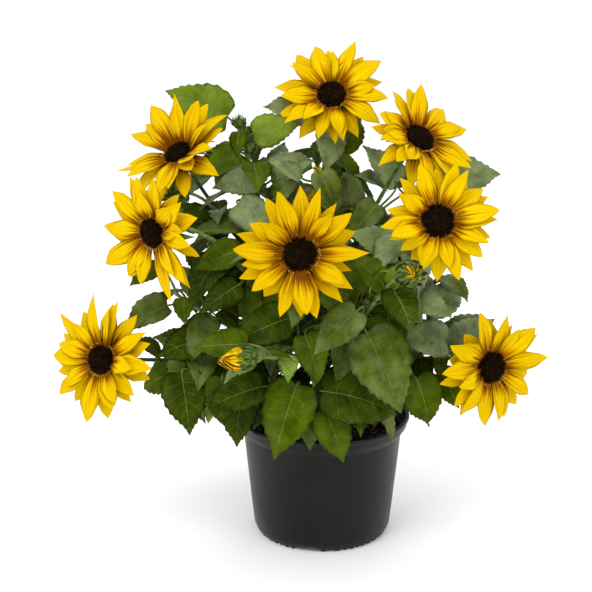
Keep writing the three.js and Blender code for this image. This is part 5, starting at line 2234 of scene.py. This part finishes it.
@dataclass
class Pot:
    """The moulded pot, hollow under its foot, its filling of bark mix and the chips on it."""

    around: int = 360
    hollow: float = 4.5
    gaps: int = 54
    wide_gaps: int = 3
    mix_rows: int = 34
    mix_sides: int = 120
    mix_low: float = 60.0
    chips: int = 620
    chip_sides: int = 5

    def radius_inside(self, z: float) -> float:
        """The inner wall's radius at a height."""
        slope = (POT.shoulder_radius - POT.corner_radius) / (POT.height - POT.band_height - POT.corner_height)
        return POT.corner_radius + (z - POT.corner_height) * slope - POT.wall

    def profile(self) -> Array:
        """The pot's section, from under its foot up the outside and down the inside.

        Returns:
            Heights and radii, shape (R, 2).
        """
        foot, shoulder, rim, height = POT.foot_radius, POT.shoulder_radius, POT.rim_radius, POT.height
        band, lip, step = height - POT.band_height, height - POT.lip_height, POT.step
        return np.array([
            (self.hollow, foot - 22), (4.4, foot - 9), (1.6, foot - 6.0), (0.0, foot - 4.6), (0.0, foot - 2.5),
            (0.0, foot - 0.6), (0.5, foot + 0.1), (2.2, foot + 1.2), (4.4, foot + 2.4),
            (POT.corner_height, POT.corner_radius), (30, 70.1), (55, 72.6), (80, 75.2),
            (band - 1.0, shoulder - 0.1), (band - 0.4, shoulder), (band + 0.3, shoulder + 0.5),
            (band + step, POT.band_radius), (lip - 6, rim - 2.6), (lip - 1.2, rim - 1.8), (lip - 0.2, rim - 1.4),
            (lip + 0.6, rim - 0.3),
            (lip + step, rim), (height - 1.2, rim), (height - 0.3, rim - 0.4), (height, rim - 1.2),
            (height, rim - 2.2), (height - 0.6, rim - 3.0), (lip, rim - 3.6),
            (band + step, POT.band_radius - POT.wall), (band, self.radius_inside(band)),
            (self.mix_low, self.radius_inside(self.mix_low)), (POT.floor, self.radius_inside(POT.floor)),
        ])

    def shell(self) -> Skin:
        """The pot: a profile of radius by height carried round, with notches that lift its foot between the feet.

        Returns:
            The skin.
        """
        profile, angles = self.profile(), ring_angles(self.around)
        notch = np.zeros(self.around)
        for middle, half, deep in self.notches():
            away = np.abs((angles - middle + math.pi) % (2 * math.pi) - math.pi)
            notch = np.maximum(notch, deep * (1 - smooth(half * 0.72, half * 1.15, away)))
        near = (profile[:, 0] < self.hollow) & (profile[:, 1] > POT.foot_radius - 7)
        share = np.where(near, np.clip(1 - profile[:, 0] / 5.5, 0, 1), 0)[:, None]
        z, radius = profile[:, :1] + share * notch, profile[:, 1:]
        rings = np.stack([radius * np.sin(angles), -radius * np.cos(angles), z], axis=-1)
        start, end = np.array([[0, 0, self.hollow]]), np.array([[0, 0, POT.floor]])
        return Skin.lofts(start, rings[None], end, np.array(0))

    def notches(self) -> list[tuple[float, float, float]]:
        """The gaps between the feet.

        Returns:
            Their middles and half widths in radians, and their heights.
        """
        random = np.random.default_rng(NOTCH_SEED)
        middles = (np.arange(self.gaps) + 0.5) * (2 * math.pi / self.gaps)
        middles = middles + random.uniform(-0.025, 0.025, self.gaps)
        small = [(float(m), 0.02 + 0.02 * random.uniform(), 1.2 + 1.8 * random.uniform()) for m in middles]
        wide = [(math.radians(-14 + 360 / self.wide_gaps * turn), 0.17, 4.2) for turn in range(self.wide_gaps)]
        return small + wide

    def mix(self) -> Skin:
        """The filling: a lumpy top of soft waves, closed inside the pot.

        Returns:
            The skin.
        """
        edge = POT.soil_top - POT.soil_edge_drop
        outer = self.radius_inside(edge) - 0.8
        radius, angles = np.linspace(outer, 3, self.mix_rows)[:, None], ring_angles(self.mix_sides)[None]
        x, y = radius * np.sin(angles), -radius * np.cos(angles)
        lumps = np.sin(x * 0.31 + 1.3 * np.sin(y * 0.23)) * np.sin(y * 0.37 + np.sin(x * 0.29))
        fine = np.sin(x * 0.93 + 2.1 * np.sin(y * 0.71)) * np.sin(y * 1.07 + 1.7 * np.sin(x * 0.83))
        z = edge - 1.0 + 2.0 * (1 - (radius / outer) ** 2) + 0.9 * lumps + 0.6 * fine
        inward = (self.radius_inside(self.mix_low) - 2) / outer
        low = np.stack([x[0] * inward, y[0] * inward, np.full(self.mix_sides, self.mix_low)], axis=-1)[None]
        rings = np.concatenate([low, np.stack([x, y, z], axis=-1)])
        start, end = np.array([[0, 0, self.mix_low]]), np.array([[0, 0, POT.soil_top + 0.6]])
        return Skin.lofts(start, rings[None], end, np.array(0))

    def bark(self) -> Skin:
        """Chips of bark and wood, each a flat rough block of five rings, strewn over the mix.

        Returns:
            The skin.
        """
        random = np.random.default_rng(BARK_SEED)
        count, sides = self.chips, self.chip_sides
        outer = self.radius_inside(POT.soil_top) - 7
        radius = outer * np.sqrt(random.uniform(0.01, 1, count))
        angle = random.uniform(0, 2 * math.pi, count)
        spots = np.stack([radius * np.sin(angle), -radius * np.cos(angle), np.full(count, POT.soil_top - 0.6)], axis=1)
        spots[:, 2] += 1.2 * (1 - (radius / outer) ** 2) + random.uniform(-0.5, 1.6, count)
        along = unit(np.stack([random.normal(0, spread, count) for spread in (1, 1, 0.25)], axis=1))
        length = random.uniform(3, 11, count)
        steps = np.array([-0.5, -0.32, 0.05, 0.34, 0.5])
        paths = spots[:, None] + along[:, None] * (length[:, None] * steps)[..., None]
        width = random.uniform(1.0, 2.8, count)[:, None, None]
        radii = width * random.uniform(0.65, 1.15, (count, steps.size, sides))
        slots = random.integers(1, len(MIX_FINISHES), count)[:, None, None]
        return tubes(paths, radii, sides, np.cross(along, UP) + 0.2 * UP, slots, 0.45)

    def build(self) -> None:
        """Builds the pot and its filling."""
        pot = write_piece("nursery_pot", [self.shell()], [POT_PLASTIC.material()])
        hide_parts("pot")
        finishes = [finish.material() for finish in MIX_FINISHES]
        filling = write_piece("bark_mix", [self.mix(), self.bark()], finishes)
        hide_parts("soil")


@dataclass
class Studio:
    """The pale floor, the soft lights and the camera where the photograph was taken."""

    eye: Place = (-0.026, -1.326, 0.604)
    pitch: float = 74.6
    lens: float = 86.8
    film: float = 36.0
    middle: Place = (0, 0, 0.25)
    floor_reach: float = 6.0
    sky: float = 1.08

    def lay_floor(self) -> None:
        """A wide pale floor."""
        mesh = bpy.data.meshes.new("studio_floor")
        corners = [(x * self.floor_reach, y * self.floor_reach, 0) for x, y in ((-1, -1), (1, -1), (1, 1), (-1, 1))]
        mesh.from_pydata(corners, [], [(0, 1, 2, 3)])
        floor = bpy.data.objects.new("studio_floor", mesh)
        bpy.context.scene.collection.objects.link(floor)
        material, bench = start_material("FloorWhite")
        bench.shade((0.96, 0.96, 0.96, 1.0), 0.9)
        mesh.materials.append(material)

    def light(self, name: str, place: Place, size: float, power: float) -> None:
        """A soft square light that looks at the middle of the plant.

        Args:
            name: Its name.
            place: Where it hangs, in metres.
            size: Its side, in metres.
            power: Its power, in watts.
        """
        data = bpy.data.lights.new(name, "AREA")
        data.size = size
        data.energy = power
        lamp = bpy.data.objects.new(name, data)
        lamp.location = place
        lamp.rotation_euler = (Vector(self.middle) - Vector(place)).to_track_quat("-Z", "Y").to_euler()
        bpy.context.scene.collection.objects.link(lamp)

    def build(self) -> None:
        """Sets up the floor, the lights, the sky and the camera."""
        self.lay_floor()
        self.light("key", (-0.8, -1.3, 1.8), 1.0, 17)
        self.light("fill", (1.5, -1.2, 0.9), 1.2, 5)
        self.light("rim", (0.3, 1.5, 1.5), 1.2, 7)
        world = bpy.data.worlds.new("studio_sky")
        world.use_nodes = True
        background = world.node_tree.nodes["Background"]
        background.inputs["Color"].default_value = (1, 1, 1, 1)
        background.inputs["Strength"].default_value = self.sky
        bpy.context.scene.world = world
        bpy.context.scene.view_settings.view_transform = "Standard"
        data = bpy.data.cameras.new("camera")
        data.lens = self.lens
        data.sensor_width = self.film
        data.clip_start = 0.05
        camera = bpy.data.objects.new("camera", data)
        camera.location = self.eye
        camera.rotation_euler = (math.radians(self.pitch), 0, 0)
        bpy.context.scene.collection.objects.link(camera)
        bpy.context.scene.camera = camera


def main() -> None:
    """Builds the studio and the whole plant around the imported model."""
    logging.basicConfig(level=logging.INFO, format="%(name)s: %(message)s")
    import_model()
    Studio().build()
    Pot().build()
    plant = Plant()
    logger.info("grown: %d leaves and %d young leaves", len(plant.leaves), len(plant.small_leaves))
    Stems(plant).build()
    Foliage(plant).build()
    Blooms(plant).build()
    Buds(plant).build()


if __name__ == "__main__":
    main()
